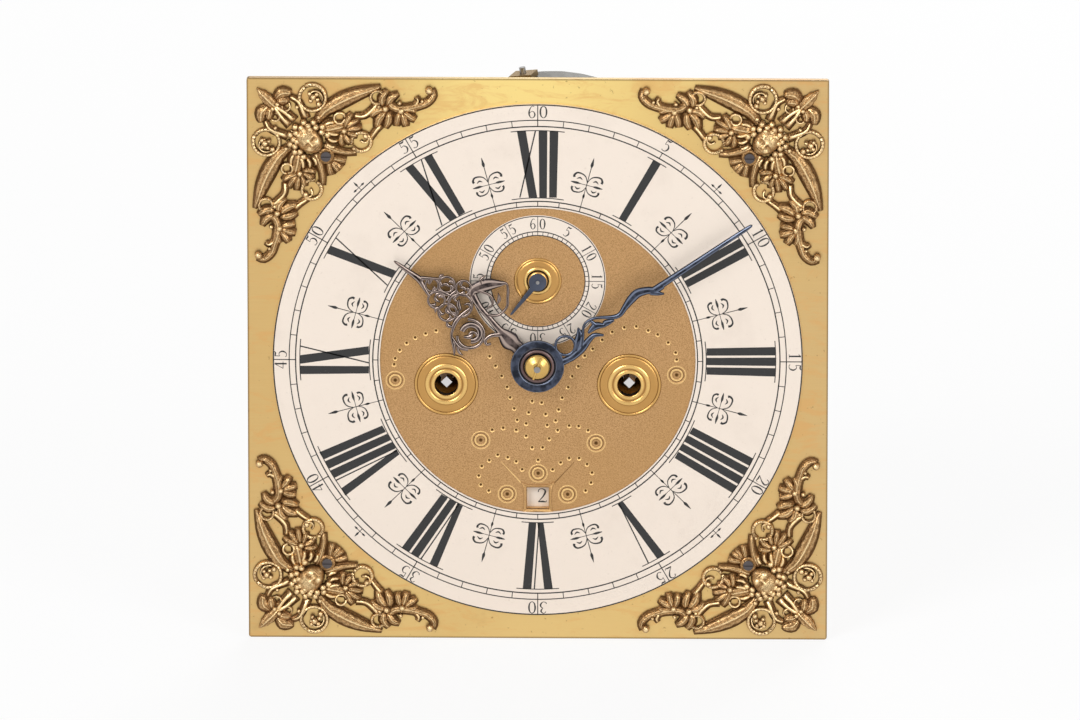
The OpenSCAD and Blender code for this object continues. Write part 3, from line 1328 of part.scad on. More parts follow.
// Half profile of the bell's outside, down from its crown: shallow dome, shoulder, wall and lip
function crown_drop(r) = crown_r - sqrt(crown_r * crown_r - r * r);
bell_outside =
    concat([for (r = [0:6:36]) [r, -crown_drop(r)]],
        [[bell_r - 12, -crown_drop(36) - 3], [bell_r - 8.4, -crown_drop(36) - 6.4],
            [bell_r - 5.6, -bell_h * 0.52],
        [bell_r - 3.6, -bell_h * 0.68], [bell_r - 1.8, -bell_h * 0.85], [bell_r, -bell_h]]);
module bell()
    color(bell_metal) at_bell() rotate_extrude($fn = 128) {
        outside = bell_outside;
        inside = [for (p = outside) [p[0] - bell_wall * min(1, p[0] / bell_r * 1.1),
            max(p[1] - bell_wall * (p[0] < 37 ? 1 : 0.3), -bell_h)]];
        hole = stud_r + 0.4;
        polygon(concat([[hole, -0.06]], [for (i = [1:len(outside) - 1]) outside[i]],
            [for (i = [len(inside) - 1:-1:1]) inside[i]], [[hole, -bell_wall]]));
    }

module bell_nut() {
    color(brass) at_bell() translate([0, 0, 1.3]) rotate(-20) difference() {
        cube(nut_size, center = true);
        cylinder(h = 6, r = stud_r + 0.1, center = true, $fn = 32);
    }
}

module bell_stand()
    color(steel) {
        difference() {
            box([stand_x - stand_w / 2, stand_x + stand_w / 2], [back_out, back_out + 3],
                [stand_foot, stand_top]);
            for (p = stand_screws) on(p) rod(back_out - 1, back_out + 4, screw_r);
        }
        // Arm that leans in under the crown
        from = [stand_x, back_out + 1.5];
        to = [hole_at[0], hole_at[1]];
        run = norm(to - from);
        translate([from[0], from[1], 0]) rotate([0, 0, dir(from, to)]) rotate([90, 0, 0])
            translate([0, 0, -stand_w / 2]) linear_extrude(stand_w) polygon([[-1, stand_top - arm_depth],
                [-1, stand_top], [run - 12, bell_hole_h - 8], [run + 1, bell_hole_h - 6.2],
                [run + 1, bell_hole_h - 9.2], [run - 11, bell_hole_h - 11.5]]);
        at_bell() {
            translate([0, 0, -stud_foot]) cylinder(h = stud_foot - bell_wall - seat_gap, r = 4.2,
                $fn = 48);
            translate([0, 0, -stud_foot]) cylinder(h = stud_foot + nut_t + stud_end, r = stud_r,
                $fn = 48);
        }
    }

front_plate();
back_plate();
pillars();
taper_pins();
movement_screws();
dial_plate();
chapter_ring();
seconds_ring();
spandrel_top_left();
spandrel_top_right();
spandrel_bottom_left();
spandrel_bottom_right();
spandrel_screws();
dial_feet();
date_rollers();
date_ring();
hour_bridge();
centre_arbor();
centre_wheel();
hand_spring();
cannon_wheel();
minute_hand();
hand_collet();
minute_wheel();
hour_wheel();
hour_hand();
date_wheel();
going_great_wheel();
going_click();
going_barrel();
going_arbor();
third_arbor();
third_wheel();
escape_arbor();
escape_wheel();
seconds_hand();
pallet_arbor();
anchor();
crutch();
back_cock();
strike_great_wheel();
strike_click();
strike_barrel();
strike_arbor();
pin_arbor();
pin_wheel();
hoop_arbor();
hoop_wheel();
warning_arbor();
warning_wheel();
fly_arbor();
fly();
count_wheel();
detent();
lifting_lever();
hammer();
hammer_spring();
bell_stand();
bell();
bell_nut();
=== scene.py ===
import math

import bmesh
import bpy
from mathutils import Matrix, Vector
from mathutils.geometry import delaunay_2d_cdt


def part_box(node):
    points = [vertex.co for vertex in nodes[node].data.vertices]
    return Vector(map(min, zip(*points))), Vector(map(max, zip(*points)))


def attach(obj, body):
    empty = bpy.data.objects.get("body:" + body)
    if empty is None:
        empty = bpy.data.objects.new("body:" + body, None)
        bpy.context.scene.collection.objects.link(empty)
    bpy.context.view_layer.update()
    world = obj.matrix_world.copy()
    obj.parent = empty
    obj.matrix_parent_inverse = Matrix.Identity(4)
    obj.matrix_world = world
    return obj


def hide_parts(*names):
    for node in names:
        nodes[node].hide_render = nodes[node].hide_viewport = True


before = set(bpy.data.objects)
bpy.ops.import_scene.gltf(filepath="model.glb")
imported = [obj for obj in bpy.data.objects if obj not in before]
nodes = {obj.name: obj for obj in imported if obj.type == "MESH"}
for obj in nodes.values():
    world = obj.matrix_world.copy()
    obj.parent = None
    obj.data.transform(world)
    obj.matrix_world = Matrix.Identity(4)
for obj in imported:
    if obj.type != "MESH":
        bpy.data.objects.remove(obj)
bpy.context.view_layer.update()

# Lengths here are millimetres in the clock's own frame and become metres in each mesh
MM = 0.001


def node_box(name):
    """A node's lowest and highest corner in millimetres."""
    low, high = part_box(name)
    return Vector(low) / MM, Vector(high) / MM


def node_middle(name):
    """A node's middle in x and z."""
    low, high = node_box(name)
    return (low.x + high.x) / 2, (low.z + high.z) / 2


def node_front(name):
    """The depth of a node's front face."""
    return node_box(name)[0].y


# Places that the dial work is measured from
DIAL_LOW, DIAL_HIGH = node_box("dial_plate")
HALF_SIDE = (DIAL_HIGH.x - DIAL_LOW.x) / 2
CENTRE = node_middle("dial_plate")
SECONDS = node_middle("seconds_ring")
WINDING = [node_middle("strike_barrel"), node_middle("going_barrel")]
PLATE_Y = node_front("dial_plate")
CHAPTER_Y = node_front("chapter_ring")
SECONDS_Y = node_front("seconds_ring")
DATE_Y = node_front("date_ring")


# Camera, with its reach in metres, and lamps

camera_aim = (0.97, -30.5, 79.9)
camera_azimuth = math.radians(1.0)
camera_height = math.radians(15.56)
camera_distance = 8000
camera_lens = 609.3
camera_sensor = 36
camera_reach = 100

# Lamps as name, place and size in metres, and power
lamp_aim = (0, 0, 0.08)
LAMPS = [("key", (-1.6, -2.4, 1.9), 1.4, 60), ("fill", (1.9, -2.2, 1.2), 1.6, 34),
    ("back", (0.6, 2.4, 1.6), 1.6, 40)]
world_light = 0.55


def add_camera():
    """The photograph's view: a long lens from in front and a little above."""
    data = bpy.data.cameras.new("camera")
    data.lens = camera_lens
    data.sensor_width = camera_sensor
    data.clip_end = camera_reach
    camera = bpy.data.objects.new("camera", data)
    bpy.context.scene.collection.objects.link(camera)
    away = Vector((math.sin(camera_azimuth) * math.cos(camera_height),
        -math.cos(camera_azimuth) * math.cos(camera_height), math.sin(camera_height)))
    camera.location = (Vector(camera_aim) + away * camera_distance) * MM
    camera.rotation_euler = away.to_track_quat("Z", "Y").to_euler()
    bpy.context.scene.camera = camera


def add_lamp(name, place, size, power):
    """A square soft lamp that shines at the dial's centre."""
    data = bpy.data.lights.new(name, "AREA")
    data.size = size
    data.energy = power
    lamp = bpy.data.objects.new(name, data)
    bpy.context.scene.collection.objects.link(lamp)
    lamp.location = place
    lamp.rotation_euler = (Vector(place) - Vector(lamp_aim)).to_track_quat("Z", "Y").to_euler()


# Shader expressions

class Value:
    """A shader socket that takes part in arithmetic."""

    def __init__(self, finish, socket):
        self.finish = finish
        self.socket = socket

    def __add__(self, other):
        return self.finish.math("ADD", self, other)

    def __sub__(self, other):
        return self.finish.math("SUBTRACT", self, other)

    def __rsub__(self, other):
        return self.finish.math("SUBTRACT", other, self)

    def __mul__(self, other):
        return self.finish.math("MULTIPLY", self, other)

    __radd__ = __add__
    __rmul__ = __mul__


class Finish:
    """A node-based material with a Principled shader, built by expressions."""

    def __init__(self, name, metallic, roughness):
        self.material = bpy.data.materials.new(name)
        self.material.use_nodes = True
        self.tree = self.material.node_tree
        self.tree.nodes.clear()
        self.shader = self.node("BsdfPrincipled", {}, {"Metallic": metallic, "Roughness": roughness})
        self.out = self.node("OutputMaterial", {}, {"Surface": self.value(self.shader, "BSDF")})
        self.place = self.value(self.node("TexCoord"), "Object")

    def node(self, kind, settings=None, inputs=None):
        """Adds a node, sets its settings and then its sockets."""
        made = self.tree.nodes.new("ShaderNode" + kind)
        for key, setting in (settings or {}).items():
            setattr(made, key, setting)
        for key, value in (inputs or {}).items():
            self.link(made.inputs[key], value)
        return made

    def link(self, socket, value):
        if isinstance(value, Value):
            self.tree.links.new(value.socket, socket)
        else:
            socket.default_value = value

    def value(self, node, name):
        return Value(self, node.outputs[name])

    def math(self, operation, *terms):
        made = self.node("Math", {"operation": operation}, dict(enumerate(terms)))
        return self.value(made, "Value")

    def most(self, first, second):
        return self.math("MAXIMUM", first, second)

    def size(self, value):
        """The value without its sign."""
        return self.math("ABSOLUTE", value)

    def step(self, value, low, high):
        """0 below low and 1 above high, with a smooth way between."""
        made = self.node("MapRange", {"interpolation_type": "SMOOTHSTEP"},
            {"Value": value, "From Min": low, "From Max": high})
        return self.value(made, "Result")

    def scaled(self, factors, source=None):
        """The object coordinates times a factor along each axis."""
        made = self.node("VectorMath", {"operation": "MULTIPLY"}, {0: source or self.place, 1: factors})
        return self.value(made, "Vector")

    def noise(self, scale, detail=3, roughness=0.55, place=None, distortion=0):
        made = self.node("TexNoise", {}, {"Vector": place or self.place, "Scale": scale, "Detail": detail,
            "Roughness": roughness, "Distortion": distortion})
        return self.value(made, "Fac")

    def cells(self, scale):
        """Distance from the middle of each cell of a scattered pattern."""
        made = self.node("TexVoronoi", {}, {"Vector": self.place, "Scale": scale, "Randomness": 1})
        return self.value(made, "Distance")

    def mix(self, factor, first, second):
        """A colour between two colours, or a number between two numbers."""
        made = self.node("Mix", {"data_type": "RGBA"}, {"Factor": factor})
        self.link(made.inputs[6], first)
        self.link(made.inputs[7], second)
        return Value(self, made.outputs[2])

    def radius(self, centre):
        """Distance in millimetres from a point of the dial, seen from the front."""
        moved = self.node("VectorMath", {"operation": "SUBTRACT"},
            {0: self.place, 1: (centre[0] * MM, 0, centre[1] * MM)})
        flat = self.scaled((1 / MM, 0, 1 / MM), self.value(moved, "Vector"))
        return self.value(self.node("VectorMath", {"operation": "LENGTH"}, {0: flat}), "Value")

    def axis(self, letter):
        """One object coordinate in millimetres."""
        parts = self.node("SeparateXYZ", {}, {"Vector": self.place})
        return self.value(parts, letter) * (1 / MM)

    def attribute(self, name):
        return self.value(self.node("Attribute", {"attribute_name": name}), "Fac")

    def bump(self, height, distance):
        """Bump from a height whose 0 to 1 is distance millimetres."""
        made = self.node("Bump", {}, {"Height": height, "Distance": distance * MM, "Strength": 1})
        self.link(self.shader.inputs["Normal"], self.value(made, "Normal"))

    def colour(self, value):
        self.link(self.shader.inputs["Base Color"], value)

    def rough(self, value):
        self.link(self.shader.inputs["Roughness"], value)


def rgb(red, green, blue):
    """An sRGB colour of 0 to 255 as linear numbers with alpha."""
    def linear(part):
        part = part / 255
        return part / 12.92 if part <= 0.04045 else ((part + 0.055) / 1.055) ** 2.4
    return (linear(red), linear(green), linear(blue), 1)


def stage_finish():
    """White floor that looks white to the camera and in metal, and keeps the object's shadow."""
    finish = Finish("white_stage", 0, 0.9)
    finish.colour((0.8, 0.8, 0.8, 1))
    path = finish.node("LightPath")
    seen = finish.most(finish.value(path, "Is Camera Ray"), finish.value(path, "Is Glossy Ray"))
    seen = finish.most(seen, finish.value(path, "Is Transmission Ray"))
    glow = finish.node("Emission", {}, {"Color": (1, 1, 1, 1), "Strength": 1})
    share = finish.node("MixShader", {}, {0: seen * 0.86, 1: finish.value(finish.shader, "BSDF"),
        2: finish.value(glow, "Emission")})
    finish.link(finish.out.inputs["Surface"], finish.value(share, "Shader"))
    return finish.material


def set_world(strength):
    """White behind everything, and an even soft light on the object."""
    world = bpy.data.worlds.new("studio")
    bpy.context.scene.world = world
    world.use_nodes = True
    tree = world.node_tree
    tree.nodes.clear()
    path = tree.nodes.new("ShaderNodeLightPath")
    seen = path.outputs["Is Camera Ray"]
    for ray in ("Is Glossy Ray", "Is Transmission Ray"):
        either = tree.nodes.new("ShaderNodeMath")
        either.operation = "MAXIMUM"
        tree.links.new(seen, either.inputs[0])
        tree.links.new(path.outputs[ray], either.inputs[1])
        seen = either.outputs[0]
    light = tree.nodes.new("ShaderNodeBackground")
    light.inputs["Strength"].default_value = strength
    white = tree.nodes.new("ShaderNodeBackground")
    white.inputs["Strength"].default_value = 1
    share = tree.nodes.new("ShaderNodeMixShader")
    tree.links.new(seen, share.inputs[0])
    tree.links.new(light.outputs[0], share.inputs[1])
    tree.links.new(white.outputs[0], share.inputs[2])
    out = tree.nodes.new("ShaderNodeOutputWorld")
    tree.links.new(share.outputs[0], out.inputs["Surface"])


# Finishes

# Radius of the winding holes in the dial
winding_hole = 5.1


def dial_brass():
    """Brushed gilt brass with tarnish, with painted shade at its sides, along its edges and inside the
    winding holes, and a painted highlight at its top middle.
    """
    finish = Finish("dial_brass", 1, 0.32)
    across = finish.axis("X")
    height = finish.axis("Z")
    grain = finish.noise(1, 4, 0.6, finish.scaled((60, 300, 2600)))
    cloud = finish.noise(14, 3)
    stain = finish.noise(60, 4, 0.65)
    # Painted shade: the plate turns darker towards its left and right sides
    left = 1 - finish.step(across, -127, -60)
    right = finish.step(across, 60, 125)
    # Painted highlight: a bright glow at the top middle of the plate, as a lamp's reflection
    middle = 1 - finish.step(finish.size(across), 10, 100)
    top = finish.step(height, 150, 205)
    plain = finish.mix(left * 0.8, rgb(224, 190, 124), rgb(208, 172, 114))
    plain = finish.mix(right * 0.9, plain, rgb(206, 172, 118))
    plain = finish.mix(middle * top * 0.85, plain, rgb(255, 228, 144))
    plain = finish.mix(finish.step(cloud, 0.4, 0.7) * 0.35, plain, rgb(206, 168, 104))
    plain = finish.mix(finish.step(stain, 0.62, 0.8) * 0.3, plain, rgb(178, 138, 80))
    plain = finish.mix(grain * 0.3, plain, rgb(238, 208, 146))
    streak = finish.noise(1, 5, 0.7, finish.scaled((45, 45, 150)), 0.8)
    plain = finish.mix(finish.step(streak, 0.48, 0.66) * 0.4, plain, rgb(222, 164, 98))
    speck = finish.noise(420, 3, 0.6)
    plain = finish.mix(finish.step(speck, 0.66, 0.74) * 0.5, plain, rgb(128, 94, 52))
    # Painted shade along the plate's rounded edges
    beyond = finish.most(finish.size(across - CENTRE[0]), finish.size(height - CENTRE[1]))
    edge = finish.step(beyond, HALF_SIDE - 1.0, HALF_SIDE - 0.1)
    plain = finish.mix(edge * 0.7, plain, rgb(96, 74, 48))
    # Painted shade: near black inside the winding holes, where no light reaches
    for place in WINDING:
        hole = finish.step(finish.radius(place), winding_hole + 0.05, winding_hole + 0.2)
        plain = finish.mix(1 - hole, plain, rgb(26, 20, 14))
    finish.colour(plain)
    finish.rough(0.3 + grain * 0.1 + cloud * 0.05 + edge * 0.1)
    finish.bump(grain * 0.7 + stain * 0.3, 0.008)
    return finish.material


def matted_brass():
    """The punched ground inside the chapter ring, with painted shade in the bottom of each punch mark and
    painted highlights where the painted light value is above 1.1.
    """
    finish = Finish("matted_brass", 1, 0.46)
    crest = finish.attribute("crest")
    cloud = finish.noise(14, 3)
    punches = finish.cells(1900)
    speck = finish.noise(1300, 2, 0.7)
    ground = finish.mix(finish.step(punches, 0.05, 0.6), rgb(154, 118, 76), rgb(194, 154, 108))
    ground = finish.mix(finish.step(speck, 0.45, 0.75) * 0.45, ground, rgb(128, 94, 58))
    ground = finish.mix(finish.step(cloud, 0.35, 0.7) * 0.5, ground, rgb(182, 142, 92))
    # Painted shade where the painted light value is low, and a painted highlight where it is above 1.1
    ground = finish.mix(finish.step(crest, 0, 1), rgb(92, 64, 34), ground)
    finish.colour(finish.mix(finish.step(crest, 1.1, 1.6), ground, rgb(240, 204, 140)))
    finish.rough(0.42 + speck * 0.14 + cloud * 0.04)
    finish.bump(punches + speck * 0.4, 0.09)
    return finish.material


def silvered():
    """Silvered brass with a fine grain and a few stains."""
    finish = Finish("silvered", 0.35, 0.42)
    stain = finish.noise(38, 4, 0.6)
    fine = finish.noise(700, 3, 0.6)
    coarse = finish.noise(400, 2, 0.5)
    colour = finish.mix(finish.step(stain, 0.5, 0.8) * 0.5, rgb(229, 216, 203), rgb(214, 200, 187))
    colour = finish.mix(finish.step(fine, 0.62, 0.8) * 0.3, colour, rgb(192, 177, 164))
    finish.colour(colour)
    finish.rough(0.38 + fine * 0.12 + stain * 0.05)
    finish.bump(fine * 0.5 + coarse * 0.3, 0.02)
    return finish.material


def black_wax():
    """The black filling of the engraving, a little dusty and worn."""
    finish = Finish("black_wax", 0, 0.5)
    wear = finish.noise(900, 3, 0.6)
    cloud = finish.noise(160, 2)
    colour = finish.mix(finish.step(wear, 0.55, 0.8) * 0.6, rgb(28, 27, 27), rgb(62, 60, 58))
    finish.colour(finish.mix(cloud * 0.3, colour, rgb(40, 40, 41)))
    finish.rough(0.42 + wear * 0.2)
    finish.bump(wear, 0.02)
    return finish.material


def gilt():
    """Cast and gilt brass: a painted highlight on the crests, and dark brown in the recesses that is partly
    patina and partly painted shade.
    """
    finish = Finish("gilt", 1, 0.28)
    crest = finish.attribute("crest")
    cloud = finish.noise(120, 3)
    fine = finish.noise(1500, 3, 0.6)
    vein = finish.noise(620, 3, 0.6, distortion=1.4)
    groove = 1 - finish.step(finish.size(vein - 0.5), 0.015, 0.06)
    # Patina and painted shade in the recesses, where the painted light value is low, and a painted highlight
    # on the crests
    low = finish.mix(finish.step(crest, 0.0, 0.5), rgb(92, 62, 32), rgb(186, 146, 98))
    colour = finish.mix(finish.step(crest, 0.4, 0.95), low, rgb(244, 214, 162))
    colour = finish.mix(finish.step(cloud, 0.5, 0.8) * 0.35, colour, rgb(176, 128, 90))
    # Dark vein grooves on the sides of the relief, which are painted shade, fading out on its crests
    side = 1 - finish.step(crest, 0.75, 0.95)
    finish.colour(finish.mix(groove * side * 0.6, colour, rgb(104, 72, 40)))
    finish.rough(0.24 + fine * 0.18 + (1 - crest) * 0.16)
    finish.bump(fine * 0.15 + cloud * 0.2 - groove * side * 0.8, 0.16)
    return finish.material


def turned_finish():
    """Turned brass with painted shade in its grooves and a painted highlight on its mouldings."""
    finish = Finish("turned_brass", 1, 0.2)
    crest = finish.attribute("crest")
    cloud = finish.noise(110, 3)
    fine = finish.noise(900, 2)
    # Painted shade in the grooves and a painted highlight on the mouldings, from the painted light value
    colour = finish.mix(finish.step(crest, 0.0, 0.4), rgb(112, 74, 32), rgb(196, 150, 88))
    colour = finish.mix(finish.step(crest, 0.55, 1.0), colour, rgb(232, 192, 120))
    finish.colour(finish.mix(finish.step(cloud, 0.5, 0.8) * 0.3, colour, rgb(178, 128, 68)))
    finish.rough(0.2 + fine * 0.08 + (1 - crest) * 0.12)
    finish.bump(fine, 0.006)
    return finish.material


def shade(colour, share):
    """A darker tone of an sRGB colour, as linear numbers."""
    return rgb(*[part * share for part in colour])


def steel(name, light, dark, roughness):
    """Filed and polished steel with faint marks along it."""
    finish = Finish(name, 1, roughness)
    grain = finish.noise(1, 4, 0.6, finish.scaled((300, 2200, 300)))
    cloud = finish.noise(90, 3)
    colour = finish.mix(cloud, rgb(*dark), rgb(*light))
    finish.colour(finish.mix(finish.step(grain, 0.5, 0.8) * 0.35, colour, shade(dark, 0.8)))
    finish.rough(roughness + grain * 0.12 + cloud * 0.06)
    finish.bump(grain, 0.01)
    return finish.material


def filed_steel(name, edge, light, dark):
    """Old filed steel of the hands with an uneven worn tone, painted shade on the sides of its crowned
    strands and a painted highlight along their shoulders.
    """
    finish = Finish(name, 1, 0.3)
    crest = finish.attribute("crest")
    grain = finish.noise(1, 4, 0.6, finish.scaled((900, 300, 900)))
    cloud = finish.noise(240, 3, 0.6)
    worn_and_shaded = finish.mix(finish.step(cloud, 0.35, 0.65), rgb(*light), rgb(*dark))
    # Painted shade: the dark colour on the low sides of each strand
    worn_and_shaded = finish.mix(finish.step(crest, 0.4, 0.95), rgb(*dark), worn_and_shaded)
    # Painted highlight along the shoulders of each strand
    painted_edge_highlight = finish.step(crest, 0.55, 0.8) * (1 - finish.step(crest, 0.86, 0.98))
    finish.colour(finish.mix(painted_edge_highlight, worn_and_shaded, rgb(*edge)))
    finish.rough(0.28 + grain * 0.15 + cloud * 0.1)
    finish.bump(grain, 0.015)
    return finish.material


def brass(name, light, dark, roughness, grain_scale, tarnish_and_shade):
    """Brushed brass with handling stains; with the last switch on, tarnish too, and near-black painted shade
    round the winding arbors on the plate's front, which shows through the winding holes.
    """
    finish = Finish(name, 1, roughness)
    grain = finish.noise(1, 4, 0.6, finish.scaled(grain_scale))
    cloud = finish.noise(45, 4, 0.6)
    spots = finish.noise(260, 3, 0.65)
    colour = finish.mix(cloud, rgb(*light), rgb(*dark))
    colour = finish.mix(grain * 0.3, colour, shade(light, 0.86))
    colour = finish.mix(finish.step(spots, 0.66, 0.8) * 0.5, colour, shade(dark, 0.62))
    if tarnish_and_shade:
        tarnish = finish.noise(16, 5, 0.65, distortion=0.6)
        colour = finish.mix(finish.step(tarnish, 0.42, 0.75) * 0.4, colour, shade(dark, 0.62))
        # Painted shade: near black round the winding arbors on the front of the plate, seen through the
        # winding holes
        front = 1 - finish.step(finish.axis("Y"), 8, 10)
        for place in WINDING:
            painted_shade_distance = finish.radius(place) + cloud * 4
            colour = finish.mix((1 - finish.step(painted_shade_distance, 10.5, 14)) * front * 0.94, colour, rgb(24, 19, 13))
    finish.colour(colour)
    finish.rough(roughness + grain * 0.1 + finish.step(spots, 0.6, 0.8) * 0.15)
    finish.bump(grain + spots * 0.5, 0.015)
    return finish.material


# Steels as light colour, dark colour and roughness
STEELS = {
    "blued_steel": ((98, 104, 120), (56, 60, 70), 0.3),
    "browned_steel": ((132, 110, 106), (80, 66, 68), 0.25),
    "bright_steel": ((232, 229, 229), (206, 203, 204), 0.3),
    "hand_steel": ((112, 106, 106), (70, 64, 64), 0.3),
    "steel": ((176, 174, 172), (132, 130, 130), 0.27),
}
# Steels of the filed hands as the colour of the painted highlight along their edges, light colour and dark
# colour; the dark colour also paints the shade on their sides
FILED_STEELS = {
    "filed_steel": ((176, 158, 148), (112, 98, 94), (44, 39, 40)),
    "filed_blue": ((108, 116, 134), (76, 82, 98), (40, 43, 51)),
}
# Brasses as light colour, dark colour, roughness, scale of the grain along each axis and whether tarnished,
# with painted shade round the winding arbors
BRASSES = {
    "brass_plate": ((222, 186, 112), (196, 156, 88), 0.3, (70, 400, 1500), True),
    "wheel_brass": ((226, 188, 112), (198, 158, 88), 0.26, (500, 60, 500), False),
    "bell_metal": ((96, 94, 89), (74, 72, 68), 0.5, (120, 120, 900), False),
    "nut_brass": ((150, 124, 80), (112, 92, 62), 0.4, (300, 300, 900), False),
}
MATERIALS = {"dial_brass": dial_brass(), "matted_brass": matted_brass(), "silvered": silvered(),
    "black_wax": black_wax(), "gilt": gilt(), "turned_brass": turned_finish(), "stage": stage_finish()}
for make_finish, kinds in ((steel, STEELS), (filed_steel, FILED_STEELS), (brass, BRASSES)):
    for kind, values in kinds.items():
        MATERIALS[kind] = make_finish(kind, *values)


# Mesh building

class Shape:
    """Closed shells gathered in millimetres, with a painted light value for each corner."""

    def __init__(self):
        self.points = []
        self.faces = []
        self.crests = []

    def add(self, points, faces, crests=None):
        start = len(self.points)
        self.points += [tuple(point) for point in points]
        self.crests += list(crests) if crests else [1.0] * len(points)
        self.faces += [tuple(start + index for index in face) for face in faces]

    def loft(self, rings, crests=None, closed=False):
        """Joins rings of equal length in order and closes the ends, or the loop."""
        count = len(rings[0])
        points = [point for ring in rings for point in ring]
        faces = []
        last = len(rings) if closed else len(rings) - 1
        for row in range(last):
            here, there = row * count, (row + 1) % len(rings) * count
            for step in range(count):
                after = (step + 1) % count
                faces.append((here + step, here + after, there + after, there + step))
        if not closed:
            faces.append(tuple(reversed(range(count))))
            faces.append(tuple(range((len(rings) - 1) * count, len(rings) * count)))
        self.add(points, faces, crests)

    def flat(self, outline, front, back):
        """A flat piece with that outline in x and z, between two depths."""
        self.loft([[(x, back, z) for x, z in outline], [(x, front, z) for x, z in outline]])

    def mesh(self, name):
        """The shells as a mesh in metres."""
        mesh = bpy.data.meshes.new(name)
        mesh.from_pydata([[part * MM for part in point] for point in self.points], [], self.faces)
        return mesh

    def piece(self, name, material, body="movement", replaces=(), smooth=False):
        """Makes the object, with its faces turned outwards, and hands it to the frame."""
        mesh = self.mesh(name)
        crest = mesh.attributes.new("crest", "FLOAT", "POINT")
        crest.data.foreach_set("value", self.crests)
        work = bmesh.new()
        work.from_mesh(mesh)
        bmesh.ops.recalc_face_normals(work, faces=work.faces)
        work.to_mesh(mesh)
        work.free()
        if smooth:
            mesh.polygons.foreach_set("use_smooth", [True] * len(mesh.polygons))
        return hand_over(add_mesh_object(name, mesh), material, body, replaces)


def hand_over(piece, material, body, replaces):
    """Gives a finished piece its material and body, and hides the nodes that it stands for."""
    piece.data.materials.append(MATERIALS[material])
    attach(piece, body)
    if replaces:
        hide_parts(*replaces)
    return piece


def add_mesh_object(name, mesh):
    """A new object of the scene that shows the mesh."""
    made = bpy.data.objects.new(name, mesh)
    bpy.context.scene.collection.objects.link(made)
    return made


def turned(radius, angle, centre=CENTRE):
    """The point of the dial at that radius and clockwise angle in degrees from twelve."""
    turn = math.radians(angle)
    return (centre[0] + radius * math.sin(turn), centre[1] + radius * math.cos(turn))


def oval(x, y, half_x, half_y, count):
    """Points round an ellipse."""
    return [(x + half_x * math.cos(math.tau * step / count), y + half_y * math.sin(math.tau * step / count))
        for step in range(count)]


def spiral(x, y, first, last, start, end):
    """Points from the first radius and angle to the last, about one for each 15 degrees."""
    count = round(abs(end - start) / 15)
    line = []
    for index in range(count + 1):
        part = index / count
        radius, angle = first + (last - first) * part, math.radians(start + (end - start) * part)
        line.append((x + radius * math.cos(angle), y + radius * math.sin(angle)))
    return line


def spread(centre, angle, points):
    """Turns (along, out) points, with out pointing away from the centre at that clockwise angle."""
    across, up = math.cos(math.radians(angle)), math.sin(math.radians(angle))
    return [(centre[0] + along * across + out * up, centre[1] - along * up + out * across)
        for along, out in points]


def smooth_line(points, steps):
    """A curve through points of any length, as steps points between each two."""
    line = []
    for index in range(len(points) - 1):
        before = points[max(index - 1, 0)]
        start, end = points[index], points[index + 1]
        after = points[min(index + 2, len(points) - 1)]
        for step in range(steps):
            t = step / steps
            line.append([0.5 * (2 * b + (c - a) * t + (2 * a - 5 * b + 4 * c - d) * t * t
                + (3 * b - a - 3 * c + d) * t ** 3)
                for a, b, c, d in zip(before, start, end, after)])
    line.append(list(points[-1]))
    return line


def side_lines(line):
    """The left and right edge of a line whose points are x, z and full width."""
    left, right = [], []
    for index, (x, z, width) in enumerate(line):
        before, after = line[max(index - 1, 0)], line[min(index + 1, len(line) - 1)]
        along = Vector((after[0] - before[0], after[1] - before[1]))
        along = along.normalized() if along.length > 1e-6 else Vector((1, 0))
        left.append((x - along.y * width / 2, z + along.x * width / 2))
        right.append((x + along.y * width / 2, z - along.x * width / 2))
    return left, right


def stroke(shape, points, front, back, steps=5, place=None):
    """An engraved stroke of changing width as a thin closed piece."""
    line = smooth_line(points, steps) if steps > 1 else points
    left, right = side_lines(line)
    if place:
        left, right = place(left), place(right)
    rings = [[(left_x, back, left_z), (left_x, front, left_z), (right_x, front, right_z),
        (right_x, back, right_z)] for (left_x, left_z), (right_x, right_z) in zip(left, right)]
    shape.loft(rings)


def revolve(shape, centre, profile, count, crests=()):
    """Turns a closed profile of (radius, y) points round an axis along Y."""
    rings = []
    for index in range(count):
        corners = [(*turned(radius, 360 / count * index, centre), y) for radius, y in profile]
        rings.append([(x, y, z) for x, z, y in corners])
    shape.loft(rings, list(crests) * count, closed=True)


# Marks that repeat round a ring

